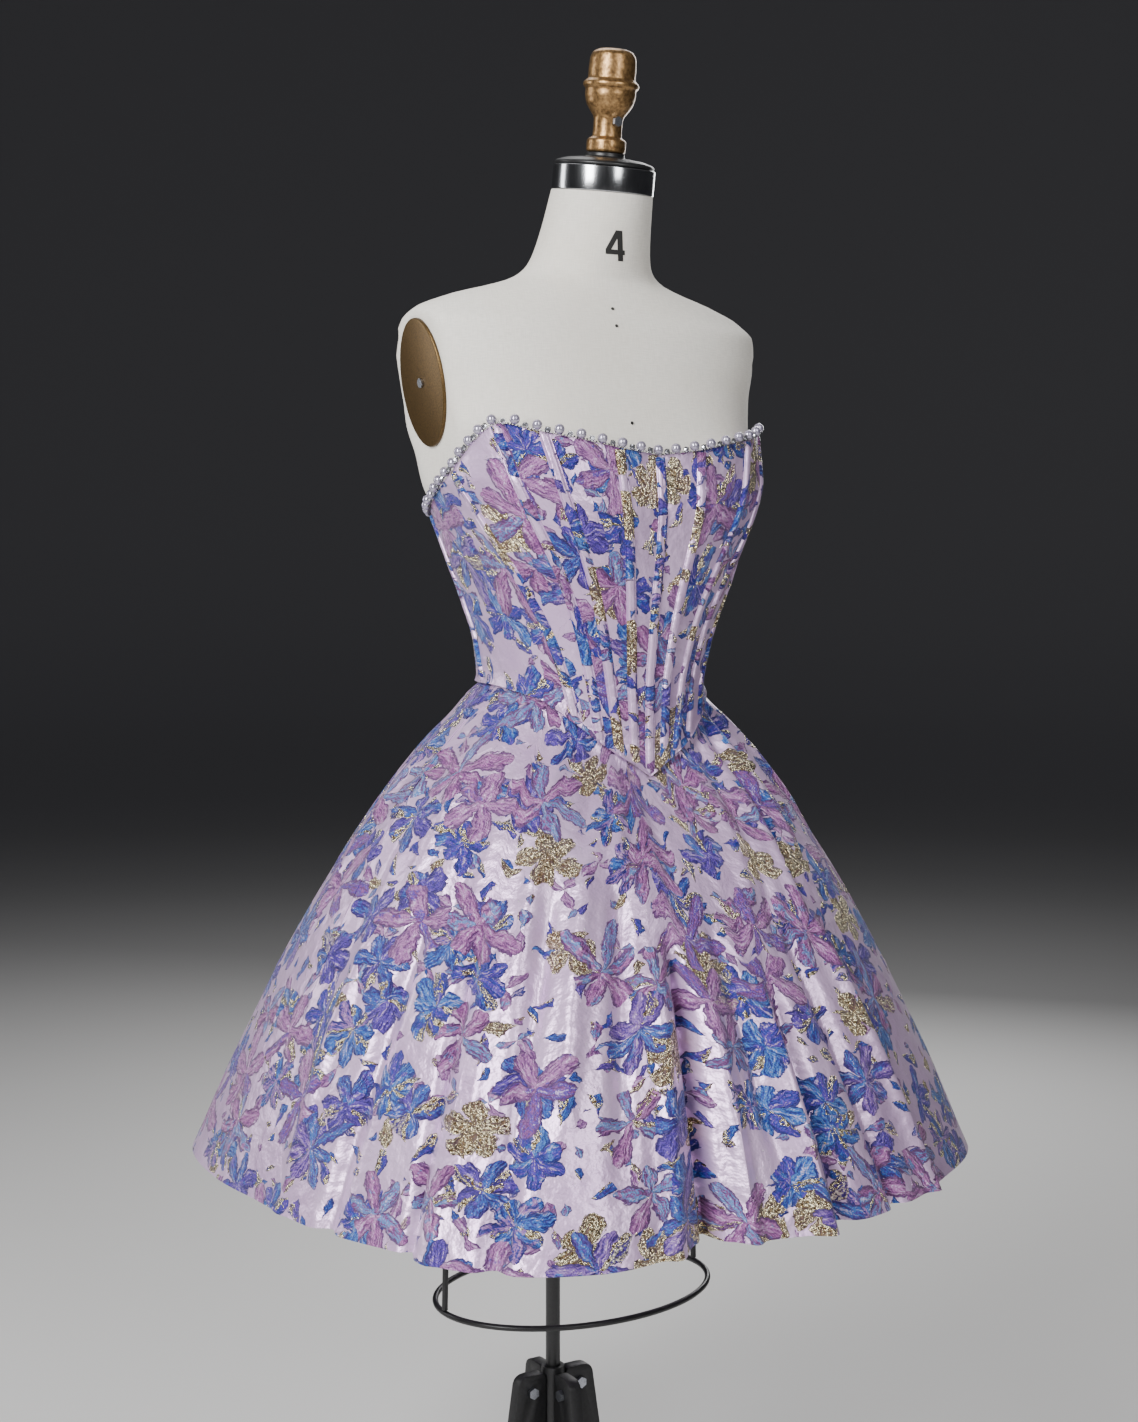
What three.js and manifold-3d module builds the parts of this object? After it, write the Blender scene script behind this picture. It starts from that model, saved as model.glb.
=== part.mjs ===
// A short strapless dress with a boned bodice and a fluted skirt, on a limbless dress form with its stand.
// Millimetres, +Z up, the front faces -Y, and the origin lies on the floor under the middle of the hem.
// Angles around the body are in degrees: 0 is centre front, 90 the wearer's left side, 180 centre back.
import * as THREE from "three";
import * as BufferGeometryUtils from "three/addons/utils/BufferGeometryUtils.js";
import Module from "manifold-3d";

const wasm = await Module();
wasm.setup();

// Driving dimensions
const hemHeight = 583;
const clothThickness = 2;
const seamGap = 0.3;
const pointRounding = 12;
const bodyClearance = 2.4;
const straightAbove = 1245;
const boneWidth = 8.5;
const boneRise = 1.8;
const pearlDiameter = 10;
const pearlCount = 42;
const pearlLinkRadius = 1.6;
const pearlClearance = 0.8;
const pearlStandOff = 2;
const pearlEndAngle = 178.4;
const bodiceRows = 9;
const skirtRows = 13;
const formSides = 36;
const linenBottom = 762;
const armPlateFace = 173;
const armPlateLean = 9;
const armPlateWidth = 82;
const armPlateHeight = 122;
const armPlateThickness = 3;
const armScrewRadius = 4.5;
const armScrewRise = 1.8;
const armPlateCentre = { y: 0, z: 1338 };
const neckTop = { y: -42, z: 1524, lean: 9 };
const neckBandRadius = 49.5;
const neckBandHeight = 24;
const setScrew = { radius: 5, from: 14.9, to: 19, up: 67 };
const neckLeanStart = 1425;
const poleAxisY = 51;
const poleRadius = 7.5;
const poleFoot = 45;
const sleeveRadius = 12;
const sleeveTop = 330;
const sleeveFoot = 22;
const slidingGap = 0.35;
const leg = { reach: 255, thickness: 14, lugTop: 326, lugFoot: 235, lugReach: 46, toeLength: 34, toeRise: 12 };
const ringHeight = 427;
const ringHalfWidth = 150;
const ringHalfDepth = 108;
const ringCentreY = 10;
const wireRadius = 3;
const strutLean = 8;
const strutPlate = { radius: 11, height: 2 };
const boltOut = 29;
const boltZ = 308;
const boltRadius = 3;
const boltHeadAcross = 12;
const boltHeadHeight = 4;
const sliderWidth = 6;
const sliderHeight = 9;
const sliderZ = 1192;
const sliderDepth = 2;
const postWidth = 0.9;
const postHeight = 2.4;
const zipBarOut = 4.6;
const zipBarRadius = 0.8;
const zipBarUp = 1;
const tabWidth = 3.6;
const tabLength = 19;
const tabThickness = 1.1;
const tabEyeRadius = 2.1;
const tabEyeGap = 0.35;
const bladeStart = 1.2;

// The linen form by height: half the width, and how far it reaches to the front and to the back.
// A larger corner value makes a squarer section.
const formSections = [
  { z: 762, halfWidth: 160, front: 112, back: 112, centre: 0, corner: 2.2 },
  { z: 800, halfWidth: 168, front: 118, back: 120, centre: 0, corner: 2.2 },
  { z: 855, halfWidth: 171, front: 122, back: 126, centre: 2, corner: 2.2 },
  { z: 910, halfWidth: 160, front: 122, back: 118, centre: 8, corner: 2.15 },
  { z: 965, halfWidth: 136, front: 124, back: 100, centre: 14, corner: 2.1 },
  { z: 1010, halfWidth: 116, front: 123, back: 84, centre: 19, corner: 2.1 },
  { z: 1050, halfWidth: 109, front: 123, back: 79, centre: 20, corner: 2.1 },
  { z: 1090, halfWidth: 113, front: 126, back: 81, centre: 20, corner: 2.1 },
  { z: 1130, halfWidth: 123, front: 128, back: 89, centre: 18, corner: 2.15 },
  { z: 1170, halfWidth: 135, front: 129, back: 98, centre: 14, corner: 2.2 },
  { z: 1214, halfWidth: 148, front: 130, back: 109, centre: 8, corner: 2.3 },
  { z: 1245, halfWidth: 160, front: 128, back: 117, centre: 5, corner: 2.4 },
  { z: 1275, halfWidth: 168, front: 122, back: 115, centre: 2, corner: 2.4 },
  { z: 1300, halfWidth: 179, front: 113, back: 108, centre: 0, corner: 2.4 },
  { z: 1335, halfWidth: 187, front: 102, back: 101, centre: -2, corner: 2.4 },
  { z: 1368, halfWidth: 196, front: 95, back: 92, centre: -1, corner: 2.4 },
  { z: 1392, halfWidth: 194, front: 89, back: 82, centre: 2, corner: 2.5 },
  { z: 1408, halfWidth: 182, front: 80, back: 71, centre: 3, corner: 2.2 },
  { z: 1423, halfWidth: 146, front: 73, back: 59, centre: 5, corner: 2.1 },
  { z: 1436, halfWidth: 98, front: 70, back: 50, centre: 9, corner: 2 },
  { z: 1446, halfWidth: 73, front: 71, back: 42, centre: 13, corner: 2 },
  { z: 1456, halfWidth: 63, front: 74, back: 36, centre: 18, corner: 2 },
  { z: 1470, halfWidth: 57.5, front: 78, back: 30, centre: 24, corner: 2 },
  { z: 1496, halfWidth: 52.5, front: 85, back: 19, centre: 33, corner: 2 },
  { z: 1524, halfWidth: 49, front: 91, back: 8, centre: 42, corner: 2 },
];

// The bust adds to the sections above, at this angle to each side and around this height.
const bust = { angle: 47, spread: 25, height: 1222, above: 62, below: 88, reach: 23 };
// How far the cloth sinks between the cups, and how much it eases back above them.
const bridge = { hollow: 0.42, ease: 0.12, over: 80 };
const seamBow = 1.12;
const foldGrowth = 1.3;
const centreGrowth = 1.8;

// The bodice's top edge and its seam with the skirt, the same on both sides.
const neckline = [
  { angle: 0, z: 1268 },
  { angle: 16, z: 1273 },
  { angle: 32, z: 1281 },
  { angle: 45, z: 1288 },
  { angle: 57, z: 1295 },
  { angle: 66, z: 1280 },
  { angle: 74, z: 1261 },
  { angle: 82, z: 1246 },
  { angle: 96, z: 1229 },
  { angle: 112, z: 1216 },
  { angle: 140, z: 1208 },
  { angle: 180, z: 1205 },
];
const waistSeam = [
  { angle: 0, z: 965 },
  { angle: 8.5, z: 976 },
  { angle: 17, z: 986 },
  { angle: 27, z: 999 },
  { angle: 39, z: 1017 },
  { angle: 58, z: 1040 },
  { angle: 90, z: 1051 },
  { angle: 180, z: 1053 },
];

// Seams of the bodice from centre front to centre back, with the columns between each and the next.
const bodiceSeams = [
  { name: "centre_front", top: 0, bottom: 0, columns: 2 },
  { name: "inner_front", top: 18, bottom: 8.5, columns: 3 },
  { name: "mid_front", top: 43, bottom: 17, columns: 2 },
  { name: "outer_front", top: 58, bottom: 27, columns: 2 },
  { name: "side_front", top: 77, bottom: 39, columns: 5 },
  { name: "side_back", top: 112, bottom: 100, columns: 6 },
  { name: "centre_back", top: 180, bottom: 180, columns: 0 },
];

// The skirt's flare from the waist seam (0) to the hem (1), as a share of its whole spread.
const flare = [
  { drop: 0, spread: 0 },
  { drop: 0.043, spread: 0.058 },
  { drop: 0.13, spread: 0.198 },
  { drop: 0.258, spread: 0.372 },
  { drop: 0.43, spread: 0.553 },
  { drop: 0.605, spread: 0.71 },
  { drop: 0.78, spread: 0.847 },
  { drop: 1, spread: 1 },
];
const hemHalfWidth = 384;
const hemHalfDepth = 366;

// The hem's ridges and valleys: the angle, the radius, and where down the skirt that fold begins.
const folds = [
  { angle: -180, radius: 362, start: 0.35 },
  { angle: -168, radius: 391, start: 0.35 },
  { angle: -153, radius: 354, start: 0.4 },
  { angle: -138, radius: 392, start: 0.3 },
  { angle: -121, radius: 390, start: 0.3 },
  { angle: -100, radius: 372, start: 0.3 },
  { angle: -87, radius: 362, start: 0.3 },
  { angle: -70, radius: 372, start: 0.3 },
  { angle: -55, radius: 384, start: 0.3 },
  { angle: -51.2, radius: 402, start: 0.3 },
  { angle: -39, radius: 415, start: 0.2 },
  { angle: -29, radius: 405, start: 0.25 },
  { angle: -20, radius: 374, start: 0.35 },
  { angle: -14, radius: 343, start: 0.4 },
  { angle: -6, radius: 357, start: 0.4 },
  { angle: 1, radius: 365, start: 0.4 },
  { angle: 4.25, radius: 377, start: 0.5 },
  { angle: 8.5, radius: 357, start: 0.5 },
  { angle: 14, radius: 365, start: 0.4 },
  { angle: 34, radius: 371, start: 0.3 },
  { angle: 57, radius: 393, start: 0.25 },
  { angle: 72, radius: 386, start: 0.3 },
  { angle: 86, radius: 353, start: 0.4 },
  { angle: 102, radius: 381, start: 0.35 },
  { angle: 119, radius: 357, start: 0.4 },
  { angle: 135, radius: 393, start: 0.35 },
  { angle: 150, radius: 355, start: 0.4 },
  { angle: 166, radius: 387, start: 0.35 },
  { angle: 180, radius: 362, start: 0.35 },
];

// Turned pieces: the neck's cap and finial above the neck plate, and the pole with its top flange.
const capProfile = [
  { radius: 0, up: 24.3 },
  { radius: 47, up: 24.3 },
  { radius: 48.5, up: 26 },
  { radius: 47, up: 28.5 },
  { radius: 38, up: 31.5 },
  { radius: 21, up: 33.5 },
  { radius: 19, up: 34 },
  { radius: 18.5, up: 38 },
  { radius: 0, up: 38 },
];
const finialProfile = [
  { radius: 0, up: 38.3 },
  { radius: 18, up: 38.3 },
  { radius: 19, up: 40 },
  { radius: 19, up: 49 },
  { radius: 17.5, up: 51 },
  { radius: 14.2, up: 52.5 },
  { radius: 13.8, up: 60 },
  { radius: 14.2, up: 71 },
  { radius: 18, up: 76 },
  { radius: 22.5, up: 83 },
  { radius: 24.5, up: 91 },
  { radius: 24.2, up: 97 },
  { radius: 26.8, up: 99 },
  { radius: 27, up: 102.5 },
  { radius: 24.5, up: 104.5 },
  { radius: 22.6, up: 106.5 },
  { radius: 22.8, up: 116 },
  { radius: 22, up: 126 },
  { radius: 20, up: 131 },
  { radius: 14, up: 134 },
  { radius: 0, up: 135 },
];
const flangeRadius = 38;
const poleProfile = [
  { radius: 0, up: poleFoot },
  { radius: poleRadius, up: poleFoot },
  { radius: poleRadius, up: linenBottom - 14 },
  { radius: flangeRadius, up: linenBottom - 8 },
  { radius: flangeRadius, up: linenBottom - seamGap },
  { radius: 0, up: linenBottom - seamGap },
];
const radians = Math.PI / 180;

function material(color, roughness, metalness = 0) {
  return new THREE.MeshStandardMaterial({ color, roughness, metalness });
}
const brocade = material(0xcfc0dc, 0.5);
const boneCloth = material(0xb9a0cf, 0.45);
const pearlShine = material(0xf1eef2, 0.25);
const zipMetal = material(0xb8b8bd, 0.35, 1);
const linen = material(0xd3cfca, 0.9);
const brushedSteel = material(0xa9abae, 0.35, 1);
const castGold = material(0xb08a57, 0.4, 1);
const bronzePaint = material(0x6b5535, 0.5, 0.6);
const blackPaint = material(0x151515, 0.45, 0.3);

// Reads one column of a table at a place between its rows, smooth and without overshoot.
function read(table, key, column, place) {
  const last = table.length - 1;
  const at = Math.min(Math.max(place, table[0][key]), table[last][key]);
  let i = 0;
  while (i < last - 1 && at > table[i + 1][key]) i += 1;
  const slope = (k) => (table[k + 1][column] - table[k][column]) / (table[k + 1][key] - table[k][key]);
  const tangent = (k) => {
    if (k === 0) return slope(0);
    if (k === last) return slope(last - 1);
    const before = slope(k - 1);
    const after = slope(k);
    return before * after <= 0 ? 0 : (2 * before * after) / (before + after);
  };
  const span = table[i + 1][key] - table[i][key];
  const t = (at - table[i][key]) / span;
  const start = (1 + 2 * t) * (1 - t) ** 2 * table[i][column] + t * (1 - t) ** 2 * span * tangent(i);
  const end = t * t * (3 - 2 * t) * table[i + 1][column] + t * t * (t - 1) * span * tangent(i + 1);
  return start + end;
}

function bell(offset, width) {
  return Math.exp(-((offset / width) ** 2));
}

function easeIn(t) {
  const s = Math.min(Math.max(t, 0), 1);
  return s * s * (3 - 2 * s);
}

function bustHeight(z) {
  return bell(z - bust.height, z > bust.height ? bust.above : bust.below);
}

// Radius of the plain section, before the bust is added.
function sectionRadius(angle, z) {
  const s = Math.abs(Math.sin(angle * radians));
  const c = Math.cos(angle * radians);
  const column = (name) => read(formSections, "z", name, z);
  const depth = c > 0 ? column("front") - column("centre") : column("back") + column("centre");
  const power = column("corner");
  return ((s / column("halfWidth")) ** power + (Math.abs(c) / depth) ** power) ** (-1 / power);
}

function centreLine(z) {
  return -read(formSections, "z", "centre", z);
}

function pointAt(angle, radius, centreY, z) {
  const turn = angle * radians;
  return new THREE.Vector3(radius * Math.sin(turn), centreY - radius * Math.cos(turn), z);
}

function formRadius(angle, z) {
  const chest = bust.reach * bell(Math.abs(angle) - bust.angle, bust.spread * 0.8) * bustHeight(z);
  return sectionRadius(angle, z) + chest;
}

// The linen form: flat where the arm plates sit, and its neck leans with the neck plate.
function formPoint(angle, z) {
  const point = pointAt(angle, formRadius(angle, z), centreLine(z), z);
  const face = armPlateFace + Math.tan(armPlateLean * radians) * (z - armPlateCentre.z);
  point.x = Math.min(Math.max(point.x, -face), face);
  const neckShare = easeIn((z - neckLeanStart) / (neckTop.z - neckLeanStart));
  point.z += neckShare * Math.tan(neckTop.lean * radians) * (point.y - centreLine(z));
  return point;
}

// The bodice bridges the hollow between the cups and stays straight above them.
function bodiceRadius(angle, z) {
  const side = Math.abs(angle);
  const inside = 1 - bridge.hollow * ((bust.angle - side) / bust.angle) ** 2;
  const across = side < bust.angle ? inside : bell(side - bust.angle, bust.spread);
  const upward = z > bust.height ? 1 - bridge.ease * ((z - bust.height) / bridge.over) : bustHeight(z);
  const bridged = sectionRadius(angle, Math.min(z, straightAbove)) + bust.reach * across * upward;
  return Math.max(bridged, formRadius(angle, z)) + bodyClearance + clothThickness;
}

function bodicePoint(angle, z, outward) {
  return pointAt(angle, bodiceRadius(angle, z) + outward, centreLine(z), z);
}

// The skirt spreads as a plain cone, and its folds grow out of it towards the hem.
function coneRadius(angle) {
  return 1 / Math.hypot(Math.sin(angle * radians) / hemHalfWidth, Math.cos(angle * radians) / hemHalfDepth);
}

function foldRise(angle, drop) {
  const start = read(folds, "angle", "start", angle);
  const share = Math.max(drop - start, 0) / (1 - start);
  return (read(folds, "angle", "radius", angle) - coneRadius(angle)) * share ** foldGrowth;
}

function skirtPoint(angle, seamZ, drop, outward) {
  const z = seamZ + (hemHeight - seamZ) * drop;
  const waist = bodiceRadius(angle, seamZ);
  const rounded = read(waistSeam, "angle", "z", Math.hypot(angle, pointRounding) - pointRounding);
  const roundedDrop = Math.max((rounded - z) / (rounded - hemHeight), 0);
  const spread = read(flare, "drop", "spread", Math.abs(angle) < 90 ? roundedDrop : drop);
  const radius = waist + (coneRadius(angle) - waist) * spread + foldRise(angle, drop);
  const centreY = centreLine(seamZ) * (1 - spread ** centreGrowth);
  return pointAt(angle, radius + outward, centreY, z);
}

// A closed wall from two grids of points, outer and inner, whose columns run with the angle and rows upward.
function wall(columns, rows, outerAt, innerAt) {
  const positions = [];
  const faces = [];
  const width = columns + 1;
  const count = width * (rows + 1);
  for (const at of [outerAt, innerAt]) {
    for (let row = 0; row <= rows; row += 1) {
      for (let column = 0; column <= columns; column += 1) {
        positions.push(...at(column, row).toArray());
      }
    }
  }
  const quad = (a, b, c, d) => faces.push(a, b, c, a, c, d);
  for (let row = 0; row < rows; row += 1) {
    for (let column = 0; column < columns; column += 1) {
      const a = row * width + column;
      quad(a, a + 1, a + width + 1, a + width);
      quad(count + a, count + a + width, count + a + width + 1, count + a + 1);
    }
  }
  for (let column = 0; column < columns; column += 1) {
    const top = rows * width + column;
    quad(column, count + column, count + column + 1, column + 1);
    quad(top, top + 1, count + top + 1, count + top);
  }
  for (let row = 0; row < rows; row += 1) {
    const left = row * width;
    const right = left + columns;
    quad(left, left + width, count + left + width, count + left);
    quad(right, count + right, count + right + width, right + width);
  }
  return indexed(positions, faces);
}

// A closed solid through rings of points, each ring counter-clockwise seen from its end.
function loft(rings, closed = false) {
  const sides = rings[0].length;
  const positions = rings.flat().flatMap((point) => point.toArray());
  const faces = [];
  const last = closed ? rings.length : rings.length - 1;
  for (let ring = 0; ring < last; ring += 1) {
    const next = (ring + 1) % rings.length;
    for (let side = 0; side < sides; side += 1) {
      const a = ring * sides + side;
      const b = ring * sides + ((side + 1) % sides);
      const c = next * sides + ((side + 1) % sides);
      const d = next * sides + side;
      faces.push(a, b, c, a, c, d);
    }
  }
  if (!closed) {
    const end = (rings.length - 1) * sides;
    for (let side = 1; side < sides - 1; side += 1) {
      faces.push(0, side + 1, side);
      faces.push(end, end + side, end + side + 1);
    }
  }
  return indexed(positions, faces);
}

function indexed(positions, faces) {
  const geometry = new THREE.BufferGeometry();
  geometry.setAttribute("position", new THREE.Float32BufferAttribute(positions, 3));
  geometry.setIndex(faces);
  return geometry;
}

function mesh(name, geometry, look) {
  const piece = new THREE.Mesh(geometry, look);
  piece.name = name;
  return piece;
}

function solid(geometry) {
  const bare = geometry.clone();
  bare.deleteAttribute("normal");
  bare.deleteAttribute("uv");
  const merged = BufferGeometryUtils.mergeVertices(bare, 1e-3);
  const vertProperties = new Float32Array(merged.attributes.position.array);
  const triVerts = new Uint32Array(merged.index.array);
  return new wasm.Manifold(new wasm.Mesh({ numProp: 3, vertProperties, triVerts }));
}

function geometryOf(manifold) {
  const { vertProperties, triVerts } = manifold.getMesh();
  return indexed(Array.from(vertProperties), Array.from(triVerts));
}

function join(geometries) {
  return geometryOf(geometries.map(solid).reduce((whole, next) => whole.add(next)));
}

function cut(geometry, tools) {
  return geometryOf(tools.map(solid).reduce((whole, tool) => whole.subtract(tool), solid(geometry)));
}

function cylinder(radius, from, to, sides) {
  const geometry = new THREE.CylinderGeometry(radius, radius, to - from, sides);
  geometry.rotateX(Math.PI / 2);
  geometry.translate(0, 0, (from + to) / 2);
  return geometry;
}

function lathe(profile, sides) {
  const points = profile.map(({ radius, up }) => new THREE.Vector2(radius, up));
  const geometry = new THREE.LatheGeometry(points, sides);
  geometry.rotateX(Math.PI / 2);
  return geometry;
}

// Angle of a seam at a height: it runs from its place on the neckline to its place on the waist.
function seamAngle(seam, side, share) {
  return side * (seam.bottom + (seam.top - seam.bottom) * share ** seamBow);
}

function bodicePanel(left, right, side) {
  const columns = left.columns;
  const angleAt = (column, row) => {
    const share = row / bodiceRows;
    const from = seamAngle(left, side, share);
    const to = seamAngle(right, side, share);
    return from + ((to - from) * column) / columns;
  };
  const at = (outward) => (columnOut, row) => {
    const column = side > 0 ? columnOut : columns - columnOut;
    const bottomAngle = angleAt(column, 0);
    const topAngle = angleAt(column, bodiceRows);
    const low = read(waistSeam, "angle", "z", Math.abs(bottomAngle)) + seamGap;
    const high = read(neckline, "angle", "z", Math.abs(topAngle));
    const z = low + ((high - low) * row) / bodiceRows;
    let angle = angleAt(column, row);
    const inset = seamGap / 2 / bodiceRadius(angle, z) / radians;
    if (column === 0) angle += side * inset;
    if (column === columns) angle -= side * inset;
    return bodicePoint(angle, z, outward);
  };
  return wall(columns, bodiceRows, at(0), at(-clothThickness));
}

function boneChannel(seam, side) {
  const half = boneWidth / 2;
  const rise = [0.55, 1, 0.55];
  const at = (outwardAt) => (column, row) => {
    const share = row / bodiceRows;
    const low = read(waistSeam, "angle", "z", seam.bottom) + seamGap + 4;
    const high = read(neckline, "angle", "z", seam.top) - 2;
    const z = low + (high - low) * share;
    const angle = seamAngle(seam, side, share);
    const across = ((column - 1) * half) / bodiceRadius(angle, z) / radians;
    return bodicePoint(angle + across, z, outwardAt(column));
  };
  const outer = at((column) => seamGap * 2 + boneRise * rise[column]);
  const inner = at(() => seamGap * 2);
  return wall(2, bodiceRows, outer, inner);
}

// Pearls on the neckline, as one string: it swells at each pearl and is thin between two.
function pearlString() {
  const swell = [pearlLinkRadius, pearlDiameter * 0.43, pearlDiameter / 2, pearlDiameter * 0.43];
  const steps = pearlCount * swell.length;
  const edge = (angle) => {
    const z = read(neckline, "angle", "z", Math.abs(angle));
    return bodicePoint(angle, z, pearlStandOff);
  };
  const rise = (angle) => {
    const z = read(neckline, "angle", "z", Math.abs(angle));
    return bodicePoint(angle, z + 5, 0).sub(bodicePoint(angle, z, 0));
  };
  const lengths = [0];
  const samples = 720;
  const angleOf = (sample) => pearlEndAngle * ((2 * sample) / samples - 1);
  for (let sample = 1; sample <= samples; sample += 1) {
    lengths.push(lengths[sample - 1] + edge(angleOf(sample)).distanceTo(edge(angleOf(sample - 1))));
  }
  const rings = [];
  for (let step = 0; step <= steps; step += 1) {
    const length = (lengths[samples] * step) / steps;
    const sample = Math.max(lengths.findIndex((value) => value >= length), 1);
    const part = (length - lengths[sample - 1]) / (lengths[sample] - lengths[sample - 1]);
    const angle = angleOf(sample - 1 + part);
    const along = edge(angle + 0.5).sub(edge(angle - 0.5)).normalize();
    const out = new THREE.Vector3().crossVectors(along, rise(angle)).normalize();
    const upward = new THREE.Vector3().crossVectors(out, along).normalize();
    const centre = edge(angle).addScaledVector(upward, pearlDiameter / 2 + pearlClearance);
    const radius = swell[step % swell.length];
    const ring = [];
    for (let side = 0; side < 6; side += 1) {
      const turn = (-side / 6) * 2 * Math.PI;
      const point = centre.clone().addScaledVector(out, radius * Math.cos(turn));
      ring.push(point.addScaledVector(upward, radius * Math.sin(turn)));
    }
    rings.push(ring);
  }
  return loft(rings);
}

// Skirt columns: every column of the bodice's lower edge, split so that the flutes have enough of them.
function skirtColumns() {
  const angles = [0];
  const widest = 4.3;
  for (let i = 0; i < bodiceSeams.length - 1; i += 1) {
    const from = bodiceSeams[i];
    const to = bodiceSeams[i + 1].bottom;
    for (let column = 0; column < from.columns; column += 1) {
      const start = from.bottom + ((to - from.bottom) * column) / from.columns;
      const end = from.bottom + ((to - from.bottom) * (column + 1)) / from.columns;
      const pieces = Math.ceil((end - start) / widest);
      for (let piece = 1; piece <= pieces; piece += 1) {
        angles.push(start + ((end - start) * piece) / pieces);
      }
    }
  }
  return angles;
}

// The lower edge of the bodice between its own corners, so that the skirt meets it along the same line.
function seamHeight(angle) {
  const size = Math.abs(angle);
  for (let i = 0; i < bodiceSeams.length - 1; i += 1) {
    const from = bodiceSeams[i];
    const to = bodiceSeams[i + 1].bottom;
    const width = (to - from.bottom) / from.columns;
    if (size <= to + 1e-9) {
      const column = Math.min(Math.floor((size - from.bottom) / width + 1e-9), from.columns - 1);
      const start = from.bottom + width * column;
      const low = read(waistSeam, "angle", "z", start);
      const high = read(waistSeam, "angle", "z", start + width);
      return low + ((high - low) * (size - start)) / width;
    }
  }
  return read(waistSeam, "angle", "z", 180);
}

function skirtPanel(angles) {
  const at = (outward) => (column, rowUp) => {
    const drop = 1 - rowUp / skirtRows;
    const seamZ = seamHeight(angles[column]) - seamGap;
    const onSeam = skirtPoint(angles[column], seamZ, drop, outward);
    const inset = seamGap / 2 / Math.hypot(onSeam.x, onSeam.y) / radians;
    let angle = angles[column];
    if (column === 0) angle += inset;
    if (column === angles.length - 1) angle -= inset;
    return skirtPoint(angle, seamZ, drop, outward);
  };
  return wall(angles.length - 1, skirtRows, at(0), at(-clothThickness));
}

function linenForm() {
  const levels = formSections.map((row) => row.z);
  const rings = levels.map((z) => {
    const ring = [];
    for (let side = 0; side < formSides; side += 1) {
      ring.push(formPoint((side * 360) / formSides - 180, z));
    }
    return ring;
  });
  // The flat underside has a ring of its own where the cage's struts meet it.
  const inset = 1 - (strutLean + strutPlate.radius) / ringHalfWidth;
  rings.unshift(rings[0].map((point) => new THREE.Vector3(point.x * inset, point.y * inset, point.z)));
  return loft(rings);
}

const object = new THREE.Group();

// Bodice panels, and a bone channel over each seam but the one at centre back
const sides = [
  { name: "right", sign: -1 },
  { name: "left", sign: 1 },
];
const panelNames = ["centre_front", "inner_front", "mid_front", "outer_front", "side", "back"];
for (const side of sides) {
  panelNames.forEach((name, i) => {
    const panel = bodicePanel(bodiceSeams[i], bodiceSeams[i + 1], side.sign);
    object.add(mesh(`bodice_${name}_${side.name}`, panel, brocade));
  });
  for (const seam of bodiceSeams.slice(1, -1)) {
    object.add(mesh(`bone_channel_${seam.name}_${side.name}`, boneChannel(seam, side.sign), boneCloth));
  }
}
object.add(mesh("bone_channel_centre_front", boneChannel(bodiceSeams[0], 1), boneCloth));
object.add(mesh("neckline_pearls", pearlString(), pearlShine));

// Skirt: one front from side seam to side seam, and two backs that meet behind the zip
const halfColumns = skirtColumns();
const sideColumn = halfColumns.findIndex((angle) => angle > 87);
const frontHalf = halfColumns.slice(0, sideColumn + 1);
const backHalf = halfColumns.slice(sideColumn);
const mirrored = (angles) => angles.map((angle) => -angle).reverse();
object.add(mesh("skirt_front", skirtPanel([...mirrored(frontHalf).slice(0, -1), ...frontHalf]), brocade));
object.add(mesh("skirt_back_left", skirtPanel(backHalf), brocade));
object.add(mesh("skirt_back_right", skirtPanel(mirrored(backHalf)), brocade));

// Zip: its slider over the top of the centre back seam, and the pull tab that hangs from it
function crossBar(radius, length, sides) {
  const bar = new THREE.CylinderGeometry(radius, radius, length, sides);
  bar.rotateZ(Math.PI / 2);
  return bar;
}

function zipSlider(backFace) {
  const start = backFace + seamGap;
  const postOut = zipBarOut + zipBarRadius - seamGap;
  const body = new THREE.BoxGeometry(sliderWidth, sliderDepth, sliderHeight);
  body.translate(0, start + sliderDepth / 2, sliderZ);
  const posts = [-1, 1].map((sign) => {
    const post = new THREE.BoxGeometry(postWidth, postOut, postHeight);
    post.translate((sign * (sliderWidth - postWidth)) / 2, start + postOut / 2, sliderZ + zipBarUp);
    return post;
  });
  const bar = crossBar(zipBarRadius, sliderWidth - postWidth, 12);
  bar.translate(0, backFace + zipBarOut, sliderZ + zipBarUp);
  return join([body, ...posts, bar]);
}

function pullTab(backFace) {
  const blade = new THREE.BoxGeometry(tabWidth, tabThickness, tabLength);
  blade.translate(0, 0, -bladeStart - tabLength / 2);
  const hole = crossBar(zipBarRadius + tabEyeGap, tabWidth * 2, 16);
  const tab = cut(join([crossBar(tabEyeRadius, tabWidth, 16), blade]), [hole]);
  tab.translate(0, backFace + zipBarOut, sliderZ + zipBarUp);
  return tab;
}

function hexBolt() {
  const face = leg.thickness / 2 + seamGap;
  const shank = cylinder(boltRadius, -face - 1, face + 1, 12);
  const head = cylinder(boltHeadAcross / 2, face, face + boltHeadHeight, 6);
  const nut = cylinder(boltHeadAcross / 2, -face - boltHeadHeight, -face, 6);
  return join([shank, head, nut]);
}

const sliderTop = sliderZ + sliderHeight / 2;
const backFace = bodicePoint(180, sliderTop, 0).y;
object.add(mesh("zip_slider", zipSlider(backFace), zipMetal));
object.add(mesh("zip_pull_tab", pullTab(backFace), zipMetal));

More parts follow.
